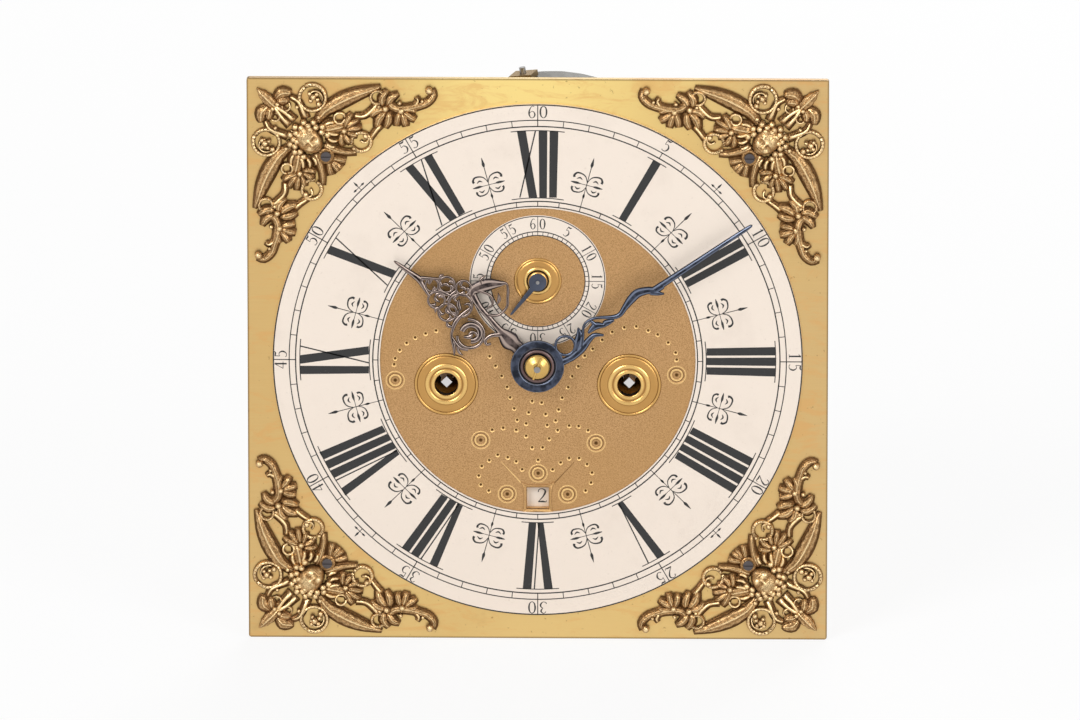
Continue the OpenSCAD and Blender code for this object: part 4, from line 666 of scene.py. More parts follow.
def ring_tree():
    """The node tree that sets copies of one mark round a centre, turned clockwise about Y."""
    tree = bpy.data.node_groups.new("marks_round_a_ring", "GeometryNodeTree")
    for name, kind in (("Mark", "Geometry"), ("Count", "Int"), ("Step", "Float"), ("First angle", "Float"),
            ("Centre", "Vector"), ("Filling", "Material")):
        tree.interface.new_socket(name, in_out="INPUT", socket_type="NodeSocket" + kind)
    tree.interface.new_socket("Marks", in_out="OUTPUT", socket_type="NodeSocketGeometry")

    def add(kind, sockets, settings=()):
        made = tree.nodes.new(kind)
        for name, setting in dict(settings).items():
            setattr(made, name, setting)
        for name, source in sockets.items():
            tree.links.new(source, made.inputs[name])
        return made.outputs

    given = add("NodeGroupInput", {})
    index = add("GeometryNodeInputIndex", {})["Index"]
    angle = add("ShaderNodeMath", {0: index, 1: given["Step"], 2: given["First angle"]},
        {"operation": "MULTIPLY_ADD"})["Value"]
    turn = add("ShaderNodeCombineXYZ", {"Y": angle})["Vector"]
    places = add("GeometryNodePoints", {"Count": given["Count"], "Position": given["Centre"]})
    marks = add("GeometryNodeInstanceOnPoints", {"Points": places[0], "Instance": given["Mark"],
        "Rotation": turn})
    meshes = add("GeometryNodeRealizeInstances", {"Geometry": marks["Instances"]})
    filled = add("GeometryNodeSetMaterial", {"Geometry": meshes["Geometry"], "Material": given["Filling"]})
    add("NodeGroupOutput", {"Marks": filled["Geometry"]})
    return tree


RING_TREE = ring_tree()


def marks_round(mark, centre, count, first_angle):
    """The points and faces of copies of a mark round that centre, from that clockwise angle in degrees."""
    maker = add_mesh_object("mark", mark.mesh("mark"))
    modifier = maker.modifiers.new("round_the_ring", "NODES")
    modifier.node_group = RING_TREE
    inputs = {"Count": count, "Step": math.tau / count, "First angle": math.radians(first_angle),
        "Centre": (centre[0] * MM, 0, centre[1] * MM), "Filling": MATERIALS["black_wax"]}
    for socket in RING_TREE.interface.items_tree:
        if socket.name in inputs:
            modifier[socket.identifier] = inputs[socket.name]
    graph = bpy.context.evaluated_depsgraph_get()
    marks = bpy.data.meshes.new_from_object(maker.evaluated_get(graph))
    points = [point.co / MM for point in marks.vertices]
    faces = [tuple(face.vertices) for face in marks.polygons]
    original = maker.data
    bpy.data.objects.remove(maker)
    for used_up in (original, marks):
        bpy.data.meshes.remove(used_up)
    return points, faces


# Numerals and engraving

# Figures as strokes of (along, out, width), one high
DIGITS = {
    "0": [[(0, 1, 0.05), (-0.2, 0.85, 0.1), (-0.27, 0.5, 0.14), (-0.2, 0.15, 0.1), (0, 0, 0.05),
        (0.2, 0.15, 0.1), (0.27, 0.5, 0.14), (0.2, 0.85, 0.1), (0, 1, 0.05)]],
    "1": [[(0, 0, 0.13), (0, 0.5, 0.13), (0, 1, 0.13)],
        [(-0.2, 0.82, 0.03), (-0.08, 0.86, 0.05), (0, 0.98, 0.06)],
        [(-0.2, 0.015, 0.03), (0.2, 0.015, 0.03)]],
    "2": [[(-0.25, 0.75, 0.07), (-0.2, 0.92, 0.06), (0, 1, 0.05), (0.2, 0.9, 0.1), (0.24, 0.72, 0.13),
        (0.1, 0.45, 0.1), (-0.12, 0.2, 0.06), (-0.28, 0.03, 0.05)],
        [(-0.28, 0.04, 0.06), (0, 0.06, 0.12), (0.28, 0.02, 0.05), (0.3, 0.14, 0.04)]],
    "3": [[(-0.22, 0.85, 0.06), (-0.05, 1, 0.05), (0.17, 0.9, 0.1), (0.2, 0.75, 0.12), (0.05, 0.56, 0.05)],
        [(0.05, 0.56, 0.05), (0.22, 0.42, 0.11), (0.24, 0.22, 0.13), (0.05, 0.02, 0.06), (-0.2, 0.06, 0.06),
        (-0.26, 0.18, 0.08)]],
    "4": [[(0.12, 0, 0.13), (0.12, 0.5, 0.13), (0.12, 1, 0.13)], [(0.1, 0.98, 0.04), (-0.3, 0.3, 0.05)],
        [(-0.3, 0.3, 0.05), (0.3, 0.3, 0.05)]],
    "5": [[(-0.16, 1, 0.05), (-0.18, 0.58, 0.05)],
        [(-0.16, 0.96, 0.1), (0.1, 0.93, 0.12), (0.25, 1.02, 0.04)],
        [(-0.18, 0.56, 0.04), (0.02, 0.64, 0.05), (0.2, 0.5, 0.1), (0.24, 0.28, 0.13), (0.08, 0.04, 0.07),
        (-0.16, 0.02, 0.05), (-0.24, 0.1, 0.08)]],
    "6": [[(0.2, 0.95, 0.06), (0, 0.98, 0.05), (-0.2, 0.7, 0.09), (-0.26, 0.35, 0.12), (-0.14, 0.05, 0.07),
        (0.05, 0, 0.05), (0.22, 0.15, 0.1), (0.24, 0.35, 0.11), (0.08, 0.55, 0.05), (-0.14, 0.48, 0.05),
        (-0.24, 0.32, 0.06)]],
    "7": [[(-0.26, 0.84, 0.06), (-0.22, 0.95, 0.1), (0.02, 0.93, 0.1), (0.27, 0.98, 0.04)],
        [(0.27, 0.98, 0.04), (0.06, 0.5, 0.09), (-0.06, 0, 0.13)]],
    "8": [[(0.04, 0.54, 0.08), (-0.17, 0.68, 0.1), (-0.18, 0.86, 0.08), (0, 1, 0.05), (0.18, 0.88, 0.07),
        (0.17, 0.7, 0.06), (-0.04, 0.54, 0.09), (-0.24, 0.34, 0.07), (-0.22, 0.12, 0.06), (0, 0, 0.05),
        (0.23, 0.14, 0.1), (0.22, 0.36, 0.12), (0.04, 0.54, 0.08)]],
}
DIGITS["9"] = [[(-along, 1 - out, width) for along, out, width in line] for line in DIGITS["6"]]


# How far the filling stands over a ring's face and goes under it
inlay_rise = 0.03
inlay_sunk = 0.1


class Inlay(Shape):
    """Black-filled engraving in the face of one ring, drawn round the ring's centre."""

    def __init__(self, face, centre):
        super().__init__()
        self.front = face - inlay_rise
        self.back = face + inlay_sunk
        self.face = face
        self.centre = centre

    def blank(self):
        """An inlay round the origin, for one mark that repeats."""
        return Inlay(self.face, (0, 0))

    def repeat(self, mark, count, first_angle=0):
        """Adds copies of a mark round the centre."""
        self.add(*marks_round(mark, self.centre, count, first_angle))

    def bar(self, angle, corners):
        """A straight-sided stroke from its (along, out) corners."""
        self.flat(spread(self.centre, angle, corners), self.front, self.back)

    def tick(self, angle, start, end, width):
        """A straight line between two radii."""
        half = width / 2
        self.bar(angle, [(-half, start), (half, start), (half, end), (-half, end)])

    def stroke(self, angle, points, steps=5):
        """A stroke of changing width through (along, out, width) points."""
        stroke(self, points, self.front, self.back, steps, lambda side: spread(self.centre, angle, side))

    def circle(self, radius, width, count):
        """A thin engraved circle."""
        inner, outer = radius - width / 2, radius + width / 2
        corners = [(inner, self.back), (inner, self.front), (outer, self.front), (outer, self.back)]
        revolve(self, self.centre, corners, count)

    def figures(self, text, angle, gap, foot, height, wide=1.0):
        """Figures side by side with their feet at that radius; below zero, gap and height turn them over."""
        for place, figure in enumerate(text):
            middle = (place - (len(text) - 1) / 2) * gap
            for line in DIGITS[figure]:
                points = [(middle + along * height * wide, foot + out * height, width * abs(height))
                    for along, out, width in line]
                self.stroke(angle, points, 1 if len(line) == 2 else 4)


# Engraved circles of the chapter ring as (radius, line width)
CHAPTER_CIRCLES = [(115.7, 0.55), (108.8, 0.45), (106.0, 0.55), (72.2, 0.55), (69.95, 0.5)]
# First and last radius of the chapter ring's tracks
FIGURE_TRACK = (106.0, 115.7)
MINUTE_TRACK = (106.0, 108.8)
QUARTER_TRACK = (69.9, 72.2)
tick_width = 0.36
divider_width = 0.42
# Minute figures: radius of their feet, height, distance and share of the drawn width
figure_foot = 109.9
figure_height = 5.3
figure_gap = 5
figure_width = 0.95
# Radius of the hour letters' outer and inner ends
hour_outer = 104.0
hour_inner = 73.9
# Serif lines: width, distance from the letters' ends, and reach past an outer and an inner end
serif_width = 0.4
serif_gap = 0.15
SERIF_REACH = (2.3, 2.6)
HOURS = {1: "I", 2: "II", 3: "III", 4: "IIII", 5: "V", 6: "VI", 7: "VII", 8: "VIII", 9: "IX", 10: "X",
    11: "XI", 12: "XII"}
# Width that each letter takes at its outer and its inner end, and its strokes as
# (outer left, outer right, inner left, inner right)
LETTERS = {
    "I": (4.8, 4.3, [(0.5, 4.3, 0.5, 3.8)]),
    "V": (9.4, 4.6, [(0.5, 4.3, 1.9, 4.6), (8.3, 8.9, 3.6, 4.1)]),
    "X": (9.4, 9.0, [(0.4, 4.3, 4.9, 8.6), (8.2, 8.8, 0.7, 1.3)]),
}


def hour_numeral(inlay, angle, letters):
    """Roman letters that are wider at their outer end, between two serif lines."""
    widths = [sum(LETTERS[letter][end] for letter in letters) for end in (0, 1)]
    outer_at, inner_at = -widths[0] / 2, -widths[1] / 2
    for letter in letters:
        outer, inner, strokes = LETTERS[letter]
        for outer_left, outer_right, inner_left, inner_right in strokes:
            inlay.bar(angle, [(outer_at + outer_left, hour_outer), (outer_at + outer_right, hour_outer),
                (inner_at + inner_right, hour_inner), (inner_at + inner_left, hour_inner)])
        outer_at += outer
        inner_at += inner
    radii = (hour_outer + serif_gap, hour_inner - serif_gap)
    for radius, width, spare in zip(radii, widths, SERIF_REACH):
        reach = math.degrees((width / 2 + spare) / radius)
        inlay.stroke(0, [(*turned(radius, angle + side * reach, (0, 0)), serif_width)
            for side in (-1, -0.6, -0.2, 0.2, 0.6, 1)], 3)


def chapter_inlay():
    """The black-filled engraving of the chapter ring."""
    inlay = Inlay(CHAPTER_Y, CENTRE)
    for radius, width in CHAPTER_CIRCLES:
        inlay.circle(radius, width, 240)
    for hour, letters in HOURS.items():
        angle, minutes = 30 * hour, str(5 * hour)
        hour_numeral(inlay, angle, letters)
        inlay.figures(minutes, angle, figure_gap, figure_foot, figure_height, figure_width)
        if len(minutes) == 2:
            inlay.tick(angle, *FIGURE_TRACK, divider_width)
    minute, quarter = inlay.blank(), inlay.blank()
    minute.tick(0, *MINUTE_TRACK, tick_width)
    quarter.tick(0, *QUARTER_TRACK, tick_width)
    inlay.repeat(minute, 60)
    inlay.repeat(quarter, 48)
    inlay.repeat(half_hour_mark(inlay.blank()), 12, 15)
    inlay.repeat(cross_mark(inlay.blank()), 4, 45)
    return inlay.piece("chapter_ring_wax", "black_wax")


# Radius of the half-hour mark's middle, and one of its scrolls as (along, out, width)
half_hour_middle = 82.4
HALF_HOUR_SCROLL = [(0, 1, 0.25), (1.1, 3.3, 0.45), (2.8, 4.4, 0.6), (5.2, 4.5, 0.75), (6.3, 3.2, 0.95),
    (6.1, 2.2, 1.1)]


def half_hour_mark(mark):
    """The engraved mark between two hours: an arrow crossed by a leaf bar, with four scrolls."""
    def put(points, steps=5):
        mark.stroke(0, [(x, half_hour_middle + out, width) for x, out, width in points], steps)
    put([(0, -10.1, 0.3), (0, -3, 0.3), (0, 4, 0.35), (0, 8.2, 0.35)], 3)
    put([(0, 8, 0.3), (0, 9.2, 1.3), (0, 10.4, 1.0), (0, 12.6, 0.15)])
    put([(0, -6.4, 0.3), (0, -5.2, 1.0), (0, -4, 0.3)])
    for side in (-1, 1):
        put([(0, 0, 0.3), (side * 2.6, 0, 0.3), (side * 4.2, 0.05, 1.0), (side * 5.6, 0, 0.9),
            (side * 7.2, 0, 0.2)])
        put([(side * x, out, width) for x, out, width in HALF_HOUR_SCROLL])
        put([(side * x * 0.95, -out * 0.9, width * 0.9) for x, out, width in HALF_HOUR_SCROLL])
        for out in (2.05, -2.05):
            put([(side * 2.4, out * 0.9, 0.2), (side * 3.6, out * 1.25, 0.7), (side * 4.9, out * 0.85, 0.2)])
    return mark


# Radius of the cross's middle
cross_middle = 110.4


def cross_mark(mark):
    """The small trefoil cross at the seven and a half minute places."""
    mark.stroke(0, [(0, cross_middle + out, width) for out, width in ((-1.6, 0.3), (0.5, 0.3), (1.6, 0.9),
        (3.3, 0.15))], 4)
    for side in (-1, 1):
        mark.stroke(0, [(side * along, cross_middle, width) for along, width in ((0, 0.3), (1.3, 0.3),
            (2.2, 0.9), (3.2, 0.15))], 4)
    return mark


# Seconds ring: circles as (radius, line width), and the first and last radius of its tracks
SECONDS_CIRCLES = [(29.3, 0.4), (22.4, 0.45), (20.7, 0.4)]
SECOND_TRACK = (20.7, 22.4)
SECOND_FIGURE_TRACK = (22.4, 29.3)
second_width = 0.28
second_foot = 23.6
second_height = 4.6
second_gap = 4.2


def seconds_inlay():
    """The black-filled seconds track and figures."""
    inlay = Inlay(SECONDS_Y, SECONDS)
    for radius, width in SECONDS_CIRCLES:
        inlay.circle(radius, width, 160)
    second = inlay.blank()
    second.tick(0, *SECOND_TRACK, second_width)
    inlay.repeat(second, 60)
    for mark in range(1, 13):
        angle, text = 30 * mark, str(5 * mark)
        if len(text) == 2:
            inlay.tick(angle, *SECOND_FIGURE_TRACK, second_width)
        wide = 0.8 if len(text) == 2 else 0.85
        inlay.figures(text, angle, second_gap, second_foot, second_height, wide)
    return inlay.piece("seconds_ring_wax", "black_wax")


# Days on the date ring, and the day that shows in the window
date_days = 31
date_shown = 2
# How far the day shown lies beside the window's middle, in degrees
date_offset = 1.6
# Radius of the figures' middle line, and how far their feet lie outside it
date_middle = 62.8
date_foot = 3
date_height = 6.2
date_gap = 3.6


def date_inlay():
    """The days of the month round the date ring, upright where the window shows them."""
    inlay = Inlay(DATE_Y, CENTRE)
    for day in range(1, date_days + 1):
        angle = 180 - date_offset - (day - date_shown) * 360 / date_days
        inlay.figures(str(day), angle, -date_gap, date_middle + date_foot, -date_height)
    return inlay.piece("date_ring_wax", "black_wax", "date_ring")


# Turned work on the dial

# Radius and height over the plate, across a boss round a winding hole
boss_radius = 14.0
BOSS_PROFILE = [(5.1, -0.4), (5.1, 0.62), (5.35, 0.84), (5.9, 0.9), (6.4, 0.84), (6.65, 0.64), (7.0, 0.57),
    (7.3, 0.57), (7.6, 0.8), (8.3, 1.02), (9.0, 0.84), (9.25, 0.57), (9.45, 0.57), (9.6, 0.64), (11.0, 0.68),
    (12.4, 0.64), (12.55, 0.5), (12.75, 0.44), (12.9, 0.7), (13.3, 0.82), (13.7, 0.7), (13.85, 0.44),
    (14.0, 0.36), (14.1, 0.1), (14.1, -0.4)]
# Boss pieces as name, centre, outer radius, hole's radius and the painted light value of the darkest groove
BOSSES = [("winding_boss_left", WINDING[0], 14.1, winding_hole, 0),
    ("winding_boss_right", WINDING[1], 14.1, winding_hole, 0), ("seconds_boss", SECONDS, 10.45, 2.4, 0.3)]


def boss_crest(radius, rise, darkest):
    """Painted light: even on the broad ring, a painted highlight on the raised mouldings and painted shade in
    the grooves.
    """
    return 0.5 if 9.5 < radius < 12.5 else max(darkest, min(1, (rise - 0.5) / 0.4))


def boss_piece(name, centre, outer, hole, darkest):
    """Turned mouldings round a hole of the dial."""
    shape = Shape()
    widening = (outer - hole) / (boss_radius - winding_hole)
    profile = [(hole + (radius - winding_hole) * widening, PLATE_Y - rise) for radius, rise in BOSS_PROFILE]
    crests = [boss_crest(radius, rise, darkest) for radius, rise in BOSS_PROFILE]
    crests[0] = crests[-1] = 0
    revolve(shape, centre, profile, 144, crests)
    return shape.piece(name, "turned_brass", smooth=True)


# Date window

WINDOW_Z = CENTRE[1] - date_middle
# The frame's mouldings as (half width, how far the corners are drawn out, height over the plate, painted
# light)
window_half = 4.85
FRAME_PROFILE = [(window_half, 0, -1.6, 0.3), (window_half, 0, 0, 0.5), (window_half + 0.2, 0.1, 0.25, 1.2),
    (5.7, 1.2, 0.75, 1.25), (6.0, 1.5, 0.7, 0.7), (6.05, 1.55, -0.3, 0.6)]
# The lines scribed on from the frame's upper corners: where one starts, how far it runs, its first and
# last width, and the painted light on the left one, a highlight, and on the right one, shade
SCRIBED_START = (7.3, 7)
SCRIBED_RUN = (8.7, 9.6)
SCRIBED_WIDTHS = (0.55, 0.2)
SCRIBED_LIGHTS = (1.45, 0.4)


def window_outline(reach, flare):
    """A square with its corners drawn out, as (x, z) from its middle."""
    corner = reach + flare
    line = []
    for turn in range(4):
        for along, out in ((-corner, corner), (-corner * 0.62, reach + flare * 0.2), (0, reach),
                (corner * 0.62, reach + flare * 0.2)):
            for _ in range(turn):
                along, out = out, -along
            line.append((along, out))
    return line


WINDOW_OUTLINE = window_outline(6.0, 1.5)


def window_frame():
    """The bevelled frame of the date window, with the lines scribed on from its upper corners, all with
    painted highlights and painted shade.
    """
    shape = Shape()
    rings, crests = [], []
    for reach, flare, rise, light in FRAME_PROFILE:
        outline = window_outline(reach, flare)
        rings.append([(CENTRE[0] + x, PLATE_Y - rise, WINDOW_Z + z) for x, z in outline])
        crests += [light] * len(outline)
    shape.loft(rings, crests, closed=True)
    face_y = PLATE_Y - ground_rise
    for side, light in zip((-1, 1), SCRIBED_LIGHTS):
        start = len(shape.points)
        line = [(CENTRE[0] + side * (SCRIBED_START[0] + SCRIBED_RUN[0] * part),
            WINDOW_Z + SCRIBED_START[1] + SCRIBED_RUN[1] * part,
            SCRIBED_WIDTHS[0] + (SCRIBED_WIDTHS[1] - SCRIBED_WIDTHS[0]) * part)
            for part in (0, 0.25, 0.5, 0.75, 1)]
        stroke(shape, line, face_y - 0.04, face_y + 0.1, 2)
        shape.crests[start:] = [light] * (len(shape.points) - start)
    return shape.piece("date_window_frame", "matted_brass")


# Matted ground

# Radius of the ground, and its face's height over the plate
ground_edge = 69.0
ground_rise = 0.3
# Middles of the punch marks and of the bull's-eyes as measured, in pixels of the front view
PUNCHES = [(436, 333), (425.5, 336), (415, 340), (406.5, 345.5), (399.5, 352.5), (395, 361), (394, 367),
    (489.5, 358.5), (495.5, 368), (501.5, 378), (507, 389), (510, 399.5), (514, 410.5), (517, 422),
    (516, 432), (503, 430), (492, 432), (537, 392.5), (532, 403), (541.5, 404.5), (528.5, 414.5),
    (545.5, 416), (526, 425.5), (547, 427), (526, 438), (549, 440.5), (532, 449.5), (542.5, 449.5),
    (538, 462), (592.5, 350.5), (584.5, 357.5), (578, 368), (572, 378), (568, 389), (562, 399.5),
    (558.5, 411.5), (555.5, 422.5), (557.5, 432), (569, 427.5), (578.5, 428), (588, 432), (602, 341.5),
    (612, 333.5), (624, 329), (636, 328), (648, 332), (657.5, 336), (668, 344), (675.5, 354),
    (676.5, 361), (522, 471.5), (516, 463.5), (507.5, 459.5), (497.5, 457), (489, 462.5), (481.5, 468.5),
    (478.5, 478), (480.5, 487), (488.5, 493), (552.5, 471.5), (560.5, 464.5), (569, 460), (579, 460),
    (587, 466), (592, 474.5), (591, 484.5), (585.5, 492.5)]
TARGETS = [(480.5, 442), (596, 444.5), (538, 475), (507, 496), (567.5, 496), (676.5, 376), (395, 382.5)]
# The dial's centre in that picture, and its pixels for each millimetre across and up
PICTURE_CENTRE = (537.6, 361.8)
PICTURE_SCALE = (2.285, 2.2)
# Rings from the rim of a mark inwards, as (radius, depth below the ground's face, painted light: low for
# painted shade, above 1.1 for a painted highlight)
PUNCH_RINGS = [(1.4, 0, 1), (1.2, -0.04, 0.6), (1.0, 0.04, 1.5), (0.65, 0.14, 1.3), (0.5, 0.2, 0.1),
    (0.2, 0.26, 0)]
TARGET_RINGS = [(4.3, 0, 1), (4.1, -0.06, 1.5), (3.8, -0.05, 1.3), (3.5, 0.02, 0.95), (3.2, 0.12, 0.4),
    (2.95, 0.12, 0.4), (2.7, -0.05, 1.5), (2.1, -0.02, 1.35), (1.75, 0.12, 0.4), (1.45, 0.12, 0.9),
    (1.0, 0.16, 0.8), (0.5, 0.25, 0)]
# The rings of a punch mark lie higher by this share of their distance from its rim, which puts the painted
# shade in its bottom above its middle, as a shadow from light above
punch_lean = 0.25
# Round places that the ground leaves free, as centre and radius
GROUND_HOLES = [(WINDING[0], 14.0), (WINDING[1], 14.0), (SECONDS, 10.4), (CENTRE, 6.4)]


def on_dial(place):
    """The point of the dial that was measured at that place of the picture."""
    return ((place[0] - PICTURE_CENTRE[0]) / PICTURE_SCALE[0] + CENTRE[0],
        (PICTURE_CENTRE[1] - place[1]) / PICTURE_SCALE[1] + CENTRE[1])


def matted_ground():
    """A thin layer on the plate, cut out round the turned work and window, with a pit for each punch, and
    painted light and shade in its pits and bull's-eyes.
    """
    points, edges, depths, lights = [], [], [], []

    def outline(corners, depth=0.0, light=1.0):
        start, count = len(points), len(corners)
        points.extend(Vector(corner) for corner in corners)
        depths.extend([depth] * count)
        lights.extend([light] * count)
        edges.extend((start + index, start + (index + 1) % count) for index in range(count))

    def ring(centre, radius, count, depth=0.0, light=1.0):
        outline([turned(radius, 360 / count * index, centre) for index in range(count)], depth, light)

    ring(CENTRE, ground_edge, 180)
    for centre, radius in GROUND_HOLES:
        ring(centre, radius, 72)
    window = [(CENTRE[0] + x, WINDOW_Z + z) for x, z in WINDOW_OUTLINE]
    outline(window)
    for place in PUNCHES:
        x, z = on_dial(place)
        for radius, depth, light in PUNCH_RINGS:
            lean = (PUNCH_RINGS[0][0] - radius) * punch_lean
            ring((x, z + lean), radius, 12, depth, light)
    for place in TARGETS:
        for radius, depth, light in TARGET_RINGS:
            ring(on_dial(place), radius, 24, depth, light)
    flat, _, faces, origins, _, _ = delaunay_2d_cdt(points, edges, [], 1, 1e-5)

    def covered(face):
        middle = sum((flat[index] for index in face), Vector((0, 0))) / len(face)
        if any((middle - Vector(centre)).length < radius * 0.999 for centre, radius in GROUND_HOLES):
            return False
        return not within(middle, window)

    faces = [face for face in faces if covered(face)]
    used = sorted({index for face in faces for index in face})
    new = {index: place for place, index in enumerate(used)}
    sources = [origins[index][0] if origins[index] else None for index in used]
    pits = [0 if source is None else depths[source] for source in sources]
    crests = [1 if source is None else lights[source] for source in sources]
    face_y, back_y = PLATE_Y - ground_rise, PLATE_Y + 0.1
    front = [(flat[index].x, face_y + pit, flat[index].y) for index, pit in zip(used, pits)]
    back = [(flat[index].x, back_y, flat[index].y) for index in used]
    top = [tuple(new[index] for index in face) for face in faces]
    bottom = [tuple(index + len(used) for index in reversed(face)) for face in top]
    shape = Shape()
    shape.add(front + back, top + bottom + walls(top, len(used)), crests + crests)
    return shape.piece("dial_matted_ground", "matted_brass")


def walls(faces, step):
    """Upright faces below the open edges of a layer, whose lower corners are numbered step higher."""
    open_edges = {}
    for face in faces:
        for index, corner in enumerate(face):
            edge = (corner, face[(index + 1) % len(face)])
            if edge[::-1] in open_edges:
                del open_edges[edge[::-1]]
            else:
                open_edges[edge] = True
    return [(b, a, a + step, b + step) for a, b in open_edges]


def within(point, outline):
    """Whether a point lies inside an outline."""
    odd = False
    for index, (ax, az) in enumerate(outline):
        bx, bz = outline[index - 1]
        if (az > point.y) != (bz > point.y) and point.x < (bx - ax) * (point.y - az) / (bz - az) + ax:
            odd = not odd
    return odd


# Corner ornaments, drawn from the dial's corner: x along one edge, y along the other, both inwards

RIDGES = [
    # points as (x, y, width), rise, flutes, teeth
    ([(12.4, 9.4, 1.6), (15, 6.6, 4.4), (18.4, 6.2, 2.8), (19.8, 6.3, 0.4)], 2.6, 3, 4),
    ([(13, 10.6, 1.6), (16, 9.8, 3.6), (18.8, 9.9, 0.6)], 2.2, 3, 3),
    ([(12, 12, 2.4), (17, 15.2, 2.2), (21, 19, 3)], 2.6, 1, 0),
    ([(19, 8.2, 1.2), (22.4, 10, 1.8), (24.4, 14, 2.2), (26, 18, 2.6)], 2.3, 1, 0),
    ([(30.6, 19.6, 2.6), (34.6, 14.2, 4.6), (41, 10.1, 6.2), (48, 6.9, 5.2), (54, 4.9, 3), (58.6, 3.4, 0.5)],
        3.4, 5, 9),
    ([(33, 23, 4.4), (38, 22.2, 4.8), (43, 21, 3.6)], 2.8, 3, 3),
    ([(47, 16.8, 1.8), (51.6, 16.4, 1.9), (55.6, 13, 2.2), (56.8, 10.6, 1.6)], 2.2, 1, 0),
    ([(60, 8, 2.2), (63.6, 12.6, 3), (69, 13.4, 3.4), (75, 12, 2.8), (79, 10.4, 2.6), (81.4, 7.4, 2.4),
        (80.6, 4.6, 2)], 2.6, 3, 12),
    ([(73, 12.4, 1.6), (74.8, 9.8, 1.6), (74, 8, 0.6)], 2, 1, 0),
    ([(33.6, 30, 4.2), (38, 31.8, 3), (43, 33, 2.2), (48, 33, 1.7)], 2.4, 3, 0),
    ([(54, 26.6, 1.6), (56.4, 23.2, 1.8), (58.6, 20.6, 2.2)], 2.2, 1, 0),
    # the fan by the loop, from its foot outwards
    ([(42.6, 22.4, 1), (44, 18.6, 2.8), (46, 15.4, 1.2)], 3, 3, 0),
    ([(43, 22.4, 1), (46, 19.8, 2.8), (49.2, 18, 1.4)], 3.2, 3, 0),
    ([(43.2, 23, 1), (46.8, 22.2, 2.8), (50.4, 21.8, 1.4)], 3.2, 3, 0),
    ([(43, 23.8, 1), (46, 24.8, 2.6), (48.6, 25.4, 1.4)], 3, 3, 0),
    ([(42.4, 24, 1), (43.6, 26.8, 2.8), (45.6, 29, 1.6)], 3, 3, 0),
    ([(41.6, 24, 1), (41.2, 27.2, 2.6), (42, 30.4, 1.4)], 2.8, 3, 0),
    # leaves round the long leaf's end
    ([(59.6, 12.4, 1.4), (59.2, 8.6, 3.4), (61.6, 5, 1.2)], 3, 3, 3),
    ([(61, 12.2, 1.4), (63, 8.6, 3.4), (66.4, 6.6, 1)], 3, 3, 3),
    ([(60.6, 13.6, 1.4), (56.6, 14.2, 3.6), (54, 17.2, 1.2)], 3, 3, 4),
    ([(61, 14.4, 1.4), (58, 17.6, 3.8), (56.6, 22, 1.6)], 3.2, 3, 4),
    ([(62, 14.4, 1.4), (62, 18, 3.6), (60.4, 22, 1.4)], 3.2, 3, 4),
    # flower at the start of the tail
    ([(67, 14.6, 1.4), (65.8, 18, 3.2), (65.4, 21.2, 1.6)], 3, 3, 0),
    ([(67.6, 14.6, 1.4), (68.8, 18.2, 3.2), (69.6, 21.4, 1.6)], 3.1, 3, 0),
    ([(68.2, 14.4, 1.4), (71, 16.6, 3.2), (73.8, 18.4, 1.6)], 3.1, 3, 0),
    ([(68, 14, 1.4), (71.4, 13.4, 3), (74.2, 14.6, 1.4)], 2.9, 3, 0),
    # bow below the head
    ([(35.8, 37.2, 1.4), (36.2, 40, 2.6), (37, 43.4, 2.4)], 2.6, 3, 0),
    ([(36.8, 37, 1.4), (38.6, 39.6, 2.4), (40.2, 41.6, 1.8)], 2.7, 3, 0),
    # feathers beside the head
    ([(33.2, 21, 1.4), (36.2, 19.4, 2.2), (38.8, 19.6, 1)], 3, 1, 0),
    ([(34.6, 23.4, 1.4), (37.8, 24.6, 2.2), (40.6, 24.6, 1)], 3.2, 1, 0),
    ([(34.8, 26, 1.4), (37.6, 27.6, 2.2), (40.2, 27.4, 1)], 3.2, 1, 0),
    ([(34.4, 28.4, 1.4), (36.8, 30.2, 2.2), (39, 30.2, 1)], 3, 1, 0),
]
MIDDLE_LEAF = [(4.5, 4.5, 0.5), (7, 7, 3.8), (10, 10, 5), (13.4, 13.4, 2.6)]
# Rings and scrolls as (x, y, first radius, last radius, first angle, last angle, width)
SCROLLS = [(28.7, 8.6, 5.9, 5.7, -120, 236, 1.9), (29.4, 8.2, 4.0, 1.8, 40, -190, 1.1),
    (57, 8.2, 2.9, 2.9, 0, 360, 1.6), (50, 28.4, 4.4, 4.2, -200, 150, 1.9),
    (51.6, 26.6, 2.2, 1, 150, -120, 1.1), (40.6, 17.6, 2.4, 2.4, 0, 360, 1.4),
    (17, 12.6, 2.2, 1.4, -60, 200, 1)]
# Beads as (x, y, radius)
BALLS = [(29, 8, 1.5), (27.6, 6.6, 1), (30.6, 6.8, 1), (28, 9.8, 1), (31, 9.2, 1), (31.6, 11.2, 1.3),
    (79.6, 5, 1.7), (52, 25.6, 1.3), (60.6, 13.2, 1.5), (67.4, 14.2, 1.5), (42.6, 23.2, 1.4),
    (13.4, 11.4, 1.1), (22, 12.6, 0.9), (31.4, 17.2, 1.1), (57.6, 12.2, 0.9), (76.6, 9.8, 0.8),
    (66.8, 10.6, 1), (46.8, 31.2, 0.8), (36.2, 35.4, 0.9)]
# How far a casting's foot goes below the plate's face
cast_sunk = 0.2
# The screw's seat: its middle, and its (radius, rise) profile
SCREW = (34.6, 34.6)
SEAT_PROFILE = [(1.7, -cast_sunk), (1.7, 1.98), (3.3, 1.98), (3.6, 1.5), (3.6, -cast_sunk)]
# Rows of curls as (distance from the head's middle, count, size, lift, sweep in degrees)
CURLS = [(8.4, 9, 2.2, 2.8, 236), (6.7, 8, 2.0, 4.2, 200), (5.2, 4, 1.8, 5.2, 100)]
